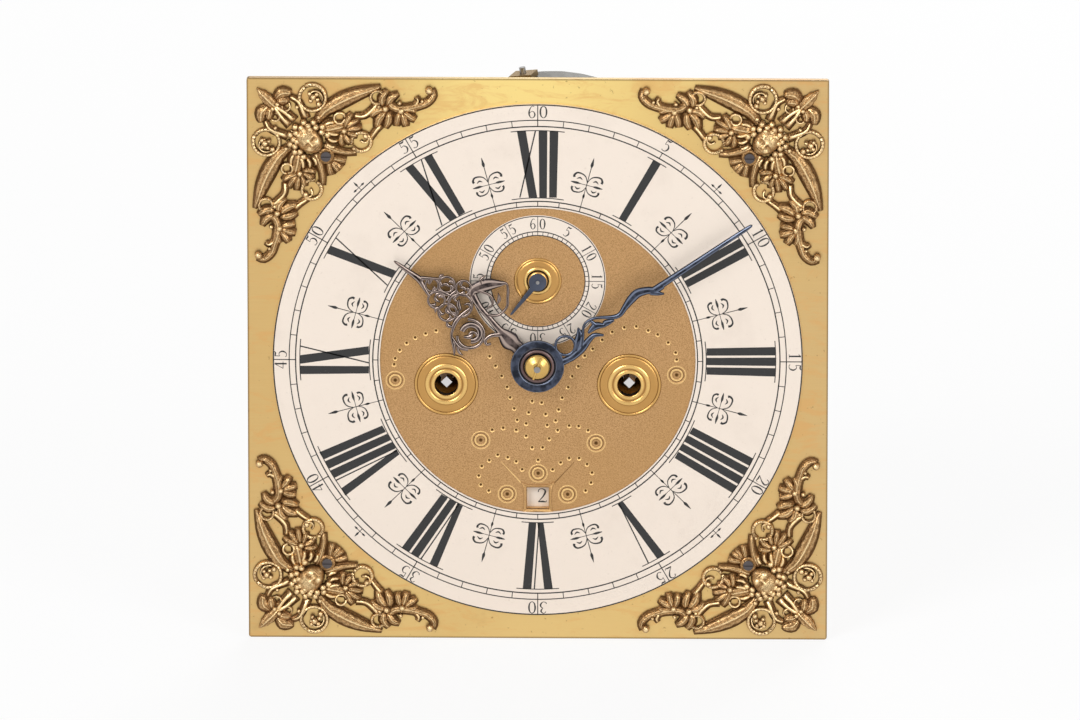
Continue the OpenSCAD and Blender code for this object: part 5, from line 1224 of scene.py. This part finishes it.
# Middle of the head, and half its length, half its width and its height
HEAD = (27.2, 27.2)
FACE = (7.0, 5.6, 4.5)
# Bumps of the face as (along, across, spread along, spread across, height); the face is 1 long and 1 wide
FEATURES = [(-0.04, 0.36, 0.06, 0.2, 0.5), (0.13, 0.36, 0.09, 0.17, -1.3), (0.15, 0.36, 0.06, 0.1, 1.0),
    (0.16, 0, 0.18, 0.08, 0.9), (0.36, 0, 0.08, 0.13, 1.3), (0.36, 0.2, 0.05, 0.05, -0.4),
    (0.42, 0.5, 0.15, 0.19, 1.0), (0.53, 0, 0.04, 0.2, -0.6), (0.6, 0, 0.035, 0.2, 0.5),
    (0.655, 0, 0.025, 0.24, -0.9), (0.71, 0, 0.04, 0.16, 0.5), (0.79, 0, 0.04, 0.25, -0.4),
    (0.88, 0, 0.08, 0.18, 0.8), (-0.3, 0.25, 0.16, 0.2, 0.3)]


class Ornament(Shape):
    """One corner ornament; sign_x and sign_z tell which corner of the dial it fills."""

    def __init__(self, sign_x, sign_z):
        super().__init__()
        self.signs = (sign_x, sign_z)
        self.swap = False

    def put(self, x, y, rise):
        """A point of the ornament as a point of the clock."""
        if self.swap:
            x, y = y, x
        return (CENTRE[0] + self.signs[0] * (HALF_SIDE - x), PLATE_Y - rise,
            CENTRE[1] + self.signs[1] * (HALF_SIDE - y))

    def ridge(self, points, rise, flutes=1, teeth=0, steps=6, across=8):
        """A crowned band with flutes along it and, for a leaf, a toothed edge."""
        line = smooth_line(points, steps)
        last = len(line) - 1
        rings, crests = [], []
        for index, (x, y, width) in enumerate(line):
            if teeth:
                width *= 1.12 - 0.3 * abs((index / last * teeth) % 1 - 0.3)
            before, after = line[max(index - 1, 0)], line[min(index + 1, last)]
            along = Vector((after[0] - before[0], after[1] - before[1])).normalized()
            end = min(1, 0.35 + 1.3 * min(index, last - index) / max(2, last * 0.5))
            ring, row = [], []
            for step in range(across + 1):
                side = 2 * step / across - 1
                dome = math.sqrt(max(0, 1 - side * side * 0.94))
                groove = 0.5 + 0.5 * math.cos(math.pi * flutes * side) if flutes > 1 else 1
                height = rise * end * dome * (0.74 + 0.26 * groove)
                shift = side * width / 2
                ring.append(self.put(x - along.y * shift, y + along.x * shift, height))
                # Painted light: brightest on the crown and the flute tops, darkest at the foot
                row.append(dome * (0.25 + 0.75 * groove) if flutes > 1 else dome ** 1.4)
            for side in (1, -1):
                shift = side * width / 2
                ring.append(self.put(x - along.y * shift, y + along.x * shift, -cast_sunk))
                row.append(0)
            rings.append(ring)
            crests += row
        self.loft(rings, crests)

    def skirt(self, points, spare=1.7, rise=1.0):
        """The low edge of the casting that shows round a part of the relief, dark with patina and painted
        shade.
        """
        line = smooth_line(points, 3)
        sides = zip(*side_lines([(x, y, width + spare) for x, y, width in line]))
        rings = []
        for (x, y, _), (left, right) in zip(line, sides):
            rings.append([self.put(*left, -cast_sunk), self.put(*left, rise * 0.7), self.put(x, y, rise),
                self.put(*right, rise * 0.7), self.put(*right, -cast_sunk)])
        self.loft(rings, [0.0, 0.1, 0.3, 0.1, 0.0] * len(rings))

    def scroll(self, x, y, first, last, start, end, width, rise=2.3):
        """A curled band, with a row of pearls along it where it is broad."""
        line = [(*point, width) for point in spiral(x, y, first, last, start, end)]
        self.ridge(line, rise * 0.85, 1, 0, 1, 6)
        if width > 1.5:
            for pearl_x, pearl_y, _ in line[1:-1]:
                self.ball(pearl_x, pearl_y, 0.42, rise * 0.75, 6, 3)

    def ball(self, x, y, radius, lift, around=12, rows=5):
        """A dome of that radius whose foot stands at that height."""
        rings, crests = [], [0.0] * around
        for part in [0] + [math.pi / 2 * row / (rows + 0.4) for row in range(rows + 1)]:
            reach, rise = radius * math.cos(part), lift + radius * math.sin(part)
            rings.append([self.put(*point, rise if rings else -cast_sunk)
                for point in oval(x, y, reach, reach, around)])
        # Painted light: darker at the foot of a dome, brighter towards its top
        for row in range(rows + 1):
            crests += [0.25 + 0.75 * row / rows] * around
        self.loft(rings, crests)

    def face(self):
        """A plain child's head with its brow towards the dial's corner."""
        long, wide, deep = FACE
        rows, around = 26, 48
        rings, crests = [], [0.0] * around
        rings.append([self.put(*on_head(*point), -cast_sunk) for point in oval(0, 0, long, wide, around)])
        for row in range(rows):
            part = 1 - (row + 0.35) / rows
            ring = []
            for up, side in oval(0, 0, part, part, around):
                form = face_form(up, side)
                height = 0.8 + deep * math.sqrt(1 - part * part) ** 0.8 + form * 0.8 * (1 - part ** 6)
                ring.append(self.put(*on_head(up * long, side * wide * (1 - 0.12 * up)), height))
                # Painted light: brighter on the raised features, darker towards the rim
                crests.append(max(0, min(1, 0.62 + form * 0.55 - 0.5 * part ** 4)))
            rings.append(ring)
        self.loft(rings, crests)

    def hair(self):
        """Curls round the brow and temples."""
        for reach, count, size, lift, sweep in CURLS:
            for index in range(count):
                angle = math.radians(225 - sweep / 2 + sweep * index / (count - 1))
                x, y = HEAD[0] + reach * math.cos(angle), HEAD[1] + reach * 0.95 * math.sin(angle)
                turn = 90 * index
                self.ball(x, y, size * 0.72, lift * 0.62, 10, 4)
                self.scroll(x, y, size * 0.72, size * 0.2, turn, turn + 420, 0.8, lift)

    def seat(self):
        """The flat boss under the screw."""
        rings = [[self.put(*point, rise) for point in oval(*SCREW, radius, radius, 40)]
            for radius, rise in SEAT_PROFILE]
        self.loft(rings, [0.4] * 40 * len(rings), closed=True)


def on_head(along, across):
    """The place of a point of the head, along from brow to chin and across it."""
    return HEAD[0] + (along - across) / math.sqrt(2), HEAD[1] + (along + across) / math.sqrt(2)


def face_form(up, side):
    """How far the features stand out from the plain dome there."""
    form = 0.0
    for place, off, spread_up, spread_side, height in FEATURES:
        for way in ((1, -1) if off else (1,)):
            form += height * math.exp(-((up - place) / spread_up) ** 2 / 2
                - ((side - way * off) / spread_side) ** 2 / 2)
    return form


def ornament(name, sign_x, sign_z):
    """The cast relief that stands for one corner node."""
    shape = Ornament(sign_x, sign_z)
    shape.face()
    shape.hair()
    shape.seat()
    shape.ridge(MIDDLE_LEAF, 3.2, 3, 4)
    for shape.swap in (False, True):
        for points, rise, flutes, teeth in RIDGES:
            shape.ridge(points, rise, flutes, teeth)
            shape.skirt(points)
        for scroll in SCROLLS:
            shape.scroll(*scroll)
        for x, y, radius in BALLS:
            shape.ball(x, y, radius, 1.6)
    return shape.piece(name + "_cast", "gilt", replaces=(name,), smooth=True)


# Filed hands, drawn upright from the centre: x to the right, y towards the tip

# Thickness of both hands, and the clockwise angles at which they rest
hand_thick = 1.3
minute_angle = 55.53
hour_angle = -53.8
# Section of a strand as (share of its half width, share of its rise, painted light)
CROWN = [(-1, 0, 0), (-1, 0.5, 0.3), (-0.72, 0.84, 0.7), (-0.25, 1, 1), (0.25, 1, 1), (0.72, 0.84, 0.7),
    (1, 0.5, 0.3), (1, 0, 0)]


class Hand(Shape):
    """A flat pierced hand with crowned strands, turned clockwise by its angle."""

    def __init__(self, node, angle):
        super().__init__()
        self.back = node_front(node) + hand_thick
        self.angle = angle

    def put(self, x, y, rise):
        """A point of the upright hand as a point of the clock."""
        (across, up), = spread(CENTRE, self.angle, [(x, y)])
        return (across, self.back - max(0, rise), up)

    def strand(self, points, rise, steps=5, wide=1.0):
        """A band with a flat back, upright edges and a crowned face."""
        line = smooth_line(points, steps)
        rings = []
        for index, (x, y, width) in enumerate(line):
            before, after = line[max(index - 1, 0)], line[min(index + 1, len(line) - 1)]
            along = Vector((after[0] - before[0], after[1] - before[1])).normalized()
            ring = []
            for side, high, _ in CROWN:
                shift = side * width * wide / 2
                ring.append(self.put(x - along.y * shift, y + along.x * shift, rise * high))
            rings.append(ring)
        self.loft(rings, [light for _, _, light in CROWN] * len(rings))

    def curl(self, x, y, first, last, start, end, width, rise):
        """A strand that follows a circle or a spiral."""
        self.strand([(*point, width) for point in spiral(x, y, first, last, start, end)], rise, 1)

    def hub(self, profile):
        """Turns a profile of (radius, rise) round the centre."""
        rings = [[self.put(*point, rise) for point in oval(0, 0, radius, radius, 96)]
            for radius, rise in profile]
        # Painted light that grows with the rise
        crests = [min(1, max(0, rise / hand_thick)) for radius, rise in profile for _ in range(96)]
        self.loft(rings, crests, closed=True)


# Strands as points of (x, y, width)
MINUTE_STRANDS = [
    [(4.4, 9.5, 3.4), (5, 13, 3), (5.1, 16, 3.2), (4.3, 20.9, 3.4), (2.7, 25.7, 2.6), (2.4, 28.8, 2),
        (4.6, 32, 0.9)],
    [(3.6, 18, 2.4), (1, 21, 4), (-1.6, 23.4, 3), (-4.4, 24.6, 0.7)],
    [(0.6, 20.6, 2), (-0.6, 23.4, 2), (-1.6, 25.6, 0.7)],
    [(3.8, 21, 1.6), (0, 24, 1.5), (-3.9, 27.5, 1.1), (-4.4, 31.6, 1.2), (-2.4, 36, 1.3), (0.1, 39.8, 2),
        (0.9, 43.1, 2.2), (-0.6, 47, 2.8), (-2, 51, 3.8), (-2.7, 55, 4), (-1.4, 59, 3.4), (0.4, 62, 3.2),
        (0.5, 66, 3)],
    [(0, 27, 1), (-0.8, 31.3, 3.4), (0.9, 34.6, 2), (0.7, 36, 3), (1.6, 39.6, 0.9)],
    [(-4.2, 31, 1), (-1.4, 31.6, 2)],
    [(0, 60, 3), (2.4, 62.4, 2), (4, 64.4, 0.6)],
    [(0.1, 62, 3), (0.1, 80, 2.5), (0, 100, 2), (0, 111.6, 1.6), (0, 113.8, 0.2)],
]
HOUR_STRANDS = [
    [(0, 8, 6), (0.6, 12, 4.6), (0.9, 15.7, 6.4), (1.6, 19.4, 4.4), (2.2, 22, 2.6), (2.9, 25, 2.2),
        (4, 29, 1.9), (5.2, 34.2, 2), (6.6, 38, 2.4), (8, 41, 2.8)],
    [(2.6, 38.4, 0.9), (-2, 39.6, 1.2), (-6.4, 39.8, 1.6), (-10, 38.8, 1.1), (-12.6, 37.4, 0.9),
        (-15.4, 34.2, 1.2), (-17.4, 32.4, 0.9), (-19, 31.3, 0.4)],
    [(-12.9, 37, 0.9), (-14.6, 31.6, 1), (-13.2, 28, 1)],
    [(1.4, 20, 1.8), (-1.9, 23.6, 1.4), (-5.2, 24.5, 1.2), (-6.4, 22.8, 0.9), (-5, 21.6, 0.8)],
    [(7.6, 41.4, 1.8), (10.2, 42.1, 3.4), (15.5, 38.7, 4.2), (19.2, 34.6, 2.2), (20.9, 32.1, 0.8),
        (18.6, 29.6, 1), (16.1, 28, 1), (13.6, 26.2, 0.9), (10.9, 25.7, 0.9), (7.8, 26.4, 0.9),
        (5.9, 28.1, 1), (4.4, 31, 1.1)],
    [(10.6, 41.2, 1.1), (12, 37.6, 0.9), (12.2, 34, 0.9), (9.4, 31.4, 0.8), (7, 32.4, 0.7)],
    [(5.4, 48, 0.9), (2.4, 48.6, 1.3), (-0.6, 48.4, 1.3)],
    [(2, 49, 0.9), (1.4, 51.6, 1.7), (0.8, 54.6, 1)],
    [(-3.6, 56, 0.9), (-2.4, 59, 1.2), (-0.4, 63.6, 2), (0, 67, 1.9)],
    [(5.6, 56.4, 0.9), (3.6, 59.6, 1), (0.8, 63.6, 1.6)],
    [(0, 62.6, 2.4), (0, 70, 1.6), (0, 76, 1), (0, 77.8, 0.2)],
    # small leaves on the scrolls
    [(14.2, 40.6, 0.5), (15.8, 42.2, 1.2), (18.6, 41.6, 0.3)],
    [(-8.6, 39.4, 0.5), (-9.6, 41.4, 1.3), (-8.2, 43.4, 0.3)],
    [(-4.8, 49.2, 0.5), (-6.4, 50.2, 1.2), (-8.2, 49.4, 0.3)],
    [(-14.2, 33.6, 0.5), (-16.4, 30.6, 1), (-16.6, 28.4, 0.3)],
    [(4.8, 56.4, 0.5), (6.6, 57.4, 1.1), (8, 56.6, 0.3)],
    [(-9.6, 33, 0.6), (-8.2, 31, 1.6), (-6, 30.6, 0.4)],
    [(-0.6, 41, 0.5), (0.8, 43.4, 1.5), (2.8, 44.6, 0.4)],
    [(-4.4, 43.6, 0.4), (-4.6, 45.8, 1.3), (-3, 47, 0.3)],
    [(8, 44.4, 0.4), (8.4, 46.2, 1.2), (7.2, 47.4, 0.3)],
    [(5, 51.4, 0.4), (5.2, 53.2, 1.2), (4, 54.6, 0.3)],
    [(-3, 50.8, 0.4), (-3.2, 52.8, 1.2), (-2, 54.2, 0.3)],
    [(11, 30, 0.5), (13.4, 30.6, 1.3), (15.4, 32.6, 0.3)],
]
# Rings of the hour hand as (x, y, radius, width)
HOUR_RINGS = [(1, 42.6, 5.2, 0.9), (-4.8, 45.3, 4, 0.85), (8.2, 46.1, 3.3, 0.85), (5.1, 53, 3.5, 0.85),
    (-3.2, 52.4, 3.7, 0.85), (1.1, 58, 2.9, 0.8)]
# Hubs as (radius, rise) from the hole outwards
MINUTE_HUB = [(4.9, 0), (4.9, 0.5), (7.7, 0.5), (7.85, 0.75), (8.2, 1.1), (8.6, 1.28), (11.2, 1.28),
    (11.6, 1.15), (11.75, 0.9), (11.75, 0)]
MINUTE_INNER_RING = [(5.0, 0.45), (5.95, 0.5), (6.1, 0.95), (6.4, 1.1), (6.9, 1.05), (7.3, 0.9), (7.5, 0.6),
    (7.5, 0.45)]
HOUR_HUB = [(4.65, 0), (4.65, 1.28), (9.2, 1.28), (9.5, 1.0), (9.5, 0)]
# Rise of the strands, of the rings and curls, and of the small leaves in the rings
strand_rise = hand_thick * 0.98
curl_rise = hand_thick * 0.9
leaf_rise = hand_thick * 0.8
# The ring of the minute hand and the curls of the hour hand as
# (x, y, first radius, last radius, first angle, last angle, width, rise)
MINUTE_RING = (-0.9, 15.4, 4.3, 4.3, -90, 270, 1.2, curl_rise)
HOUR_CURLS = [(-7.6, 31.6, 7.2, 5.2, 40, -230, 1.4, curl_rise),
    (-6.4, 31, 4.4, 3.2, 110, -150, 2.6, curl_rise), (-7, 30.4, 2.2, 0.8, -60, 170, 1.1, leaf_rise)]
# The hour hand's strands and rings are filed wider than they are drawn, by these shares
hour_widening = 1.3
ring_widening = 1.25


def minute_hand():
    """The blued minute hand with its sunk boss."""
    hand = Hand("minute_hand", minute_angle)
    hand.hub(MINUTE_HUB)
    for points in MINUTE_STRANDS:
        hand.strand(points, strand_rise)
    hand.curl(*MINUTE_RING)
    hand.piece("minute_hand_filed", "filed_blue", "centre", ("minute_hand",))
    ring = Hand("minute_hand", 0)
    ring.hub(MINUTE_INNER_RING)
    ring.piece("minute_hand_inner_ring", "browned_steel", "centre")


def hour_hand():
    """The pierced hour hand."""
    hand = Hand("hour_hand", hour_angle)
    hand.hub(HOUR_HUB)
    for points in HOUR_STRANDS:
        hand.strand(points, strand_rise, wide=hour_widening)
    for index, (x, y, radius, width) in enumerate(HOUR_RINGS):
        hand.curl(x, y, radius, radius, 0, 360, width * ring_widening, curl_rise)
        for turn in (40 + 70 * index, 160 + 50 * index, 280 + 60 * index):
            ring_leaf(hand, x, y, radius, math.radians(turn), math.radians(turn + 35))
    for curl in HOUR_CURLS:
        hand.curl(*curl)
    hand.piece("hour_hand_filed", "filed_steel", "hour", ("hour_hand",))


def ring_leaf(hand, x, y, radius, root, tip):
    """A small leaf that grows inwards from a ring of the hour hand."""
    reaches = ((radius, root, 0.9), (radius - 1.2, tip, 1.5), (radius * 0.3, tip, 0.4))
    hand.strand([(x + reach * math.cos(angle), y + reach * math.sin(angle), width)
        for reach, angle, width in reaches], leaf_rise, 3)


# CAD nodes

# Width of a softened edge
softening = 0.15


def softened(node, material, body):
    """A copy of the node's own form with its sharp edges rounded as a file leaves them."""
    mesh = nodes[node].data.copy()
    work = bmesh.new()
    work.from_mesh(mesh)
    bmesh.ops.remove_doubles(work, verts=work.verts, dist=0.002 * MM)
    bmesh.ops.dissolve_limit(work, angle_limit=math.radians(1.5), verts=work.verts, edges=work.edges)
    work.to_mesh(mesh)
    work.free()
    mesh.materials.clear()
    piece = add_mesh_object(node + "_finished", mesh)
    bevel = piece.modifiers.new("edges", "BEVEL")
    bevel.width = softening * MM
    bevel.segments = 2
    bevel.limit_method = "ANGLE"
    bevel.angle_limit = math.radians(28)
    graph = bpy.context.evaluated_depsgraph_get()
    done = bpy.data.meshes.new_from_object(piece.evaluated_get(graph))
    piece.modifiers.clear()
    piece.data = done
    return hand_over(piece, material, body, (node,))


def finish_node(node, material):
    """Gives a CAD node that stays as it is its surface."""
    data = nodes[node].data
    data.materials.clear()
    data.materials.append(MATERIALS[material])


# Half the floor's width, its gap below the dial, its thickness, and the bench's reach past the movement
floor_half = 4000
floor_gap = 0.2
floor_thick = 20
BENCH_MARGINS = {"front": 4, "back": 12, "side": 6, "foot": 1}


def add_stage():
    """A white floor below the dial, with a bench that carries the movement."""
    floor_z = DIAL_LOW.z - floor_gap
    low, high = node_box("back_plate")
    left, right = low.x - BENCH_MARGINS["side"], high.x + BENCH_MARGINS["side"]
    foot = floor_z - BENCH_MARGINS["foot"]
    shape = Shape()
    shape.flat([(-floor_half, floor_z - floor_thick), (floor_half, floor_z - floor_thick),
        (floor_half, floor_z), (-floor_half, floor_z)], -floor_half, floor_half)
    shape.flat([(left, foot), (right, foot), (right, 0), (left, 0)],
        node_front("front_plate") - BENCH_MARGINS["front"], high.y + BENCH_MARGINS["back"])
    mesh = shape.mesh("floor")
    mesh.materials.append(MATERIALS["stage"])
    add_mesh_object("floor", mesh)


# Build

bpy.context.scene.view_settings.view_transform = "Standard"
add_camera()
set_world(world_light)
for lamp in LAMPS:
    add_lamp(*lamp)
add_stage()

# Surfaces of the CAD nodes that show and aren't plain steel
FINISHES = {
    "dial_brass": ["dial_plate"],
    "brass_plate": ["front_plate", "back_plate", "pillars", "back_cock", "hour_bridge", "dial_feet"],
    "silvered": ["chapter_ring", "seconds_ring", "date_ring"],
    "wheel_brass": ["date_rollers", "centre_wheel", "cannon_wheel", "minute_wheel", "hour_wheel",
        "date_wheel", "going_great_wheel", "going_barrel", "third_wheel", "escape_wheel",
        "strike_great_wheel", "strike_barrel", "pin_wheel", "hoop_wheel", "warning_wheel", "fly",
        "count_wheel", "hand_collet", "hand_spring"],
    "nut_brass": ["bell_nut"],
    "hand_steel": ["spandrel_screws"],
    "bright_steel": ["going_arbor", "strike_arbor"],
    "bell_metal": ["bell"],
}
surfaces = {name: material for material, names in FINISHES.items() for name in names}
for name in nodes:
    finish_node(name, surfaces.get(name, "steel"))

chapter_inlay()
seconds_inlay()
date_inlay()
for boss in BOSSES:
    boss_piece(*boss)
matted_ground()
window_frame()
for name, sign_x, sign_z in (("spandrel_top_left", -1, 1), ("spandrel_top_right", 1, 1),
        ("spandrel_bottom_left", -1, -1), ("spandrel_bottom_right", 1, -1)):
    ornament(name, sign_x, sign_z)
minute_hand()
hour_hand()
softened("seconds_hand", "blued_steel", "escape")
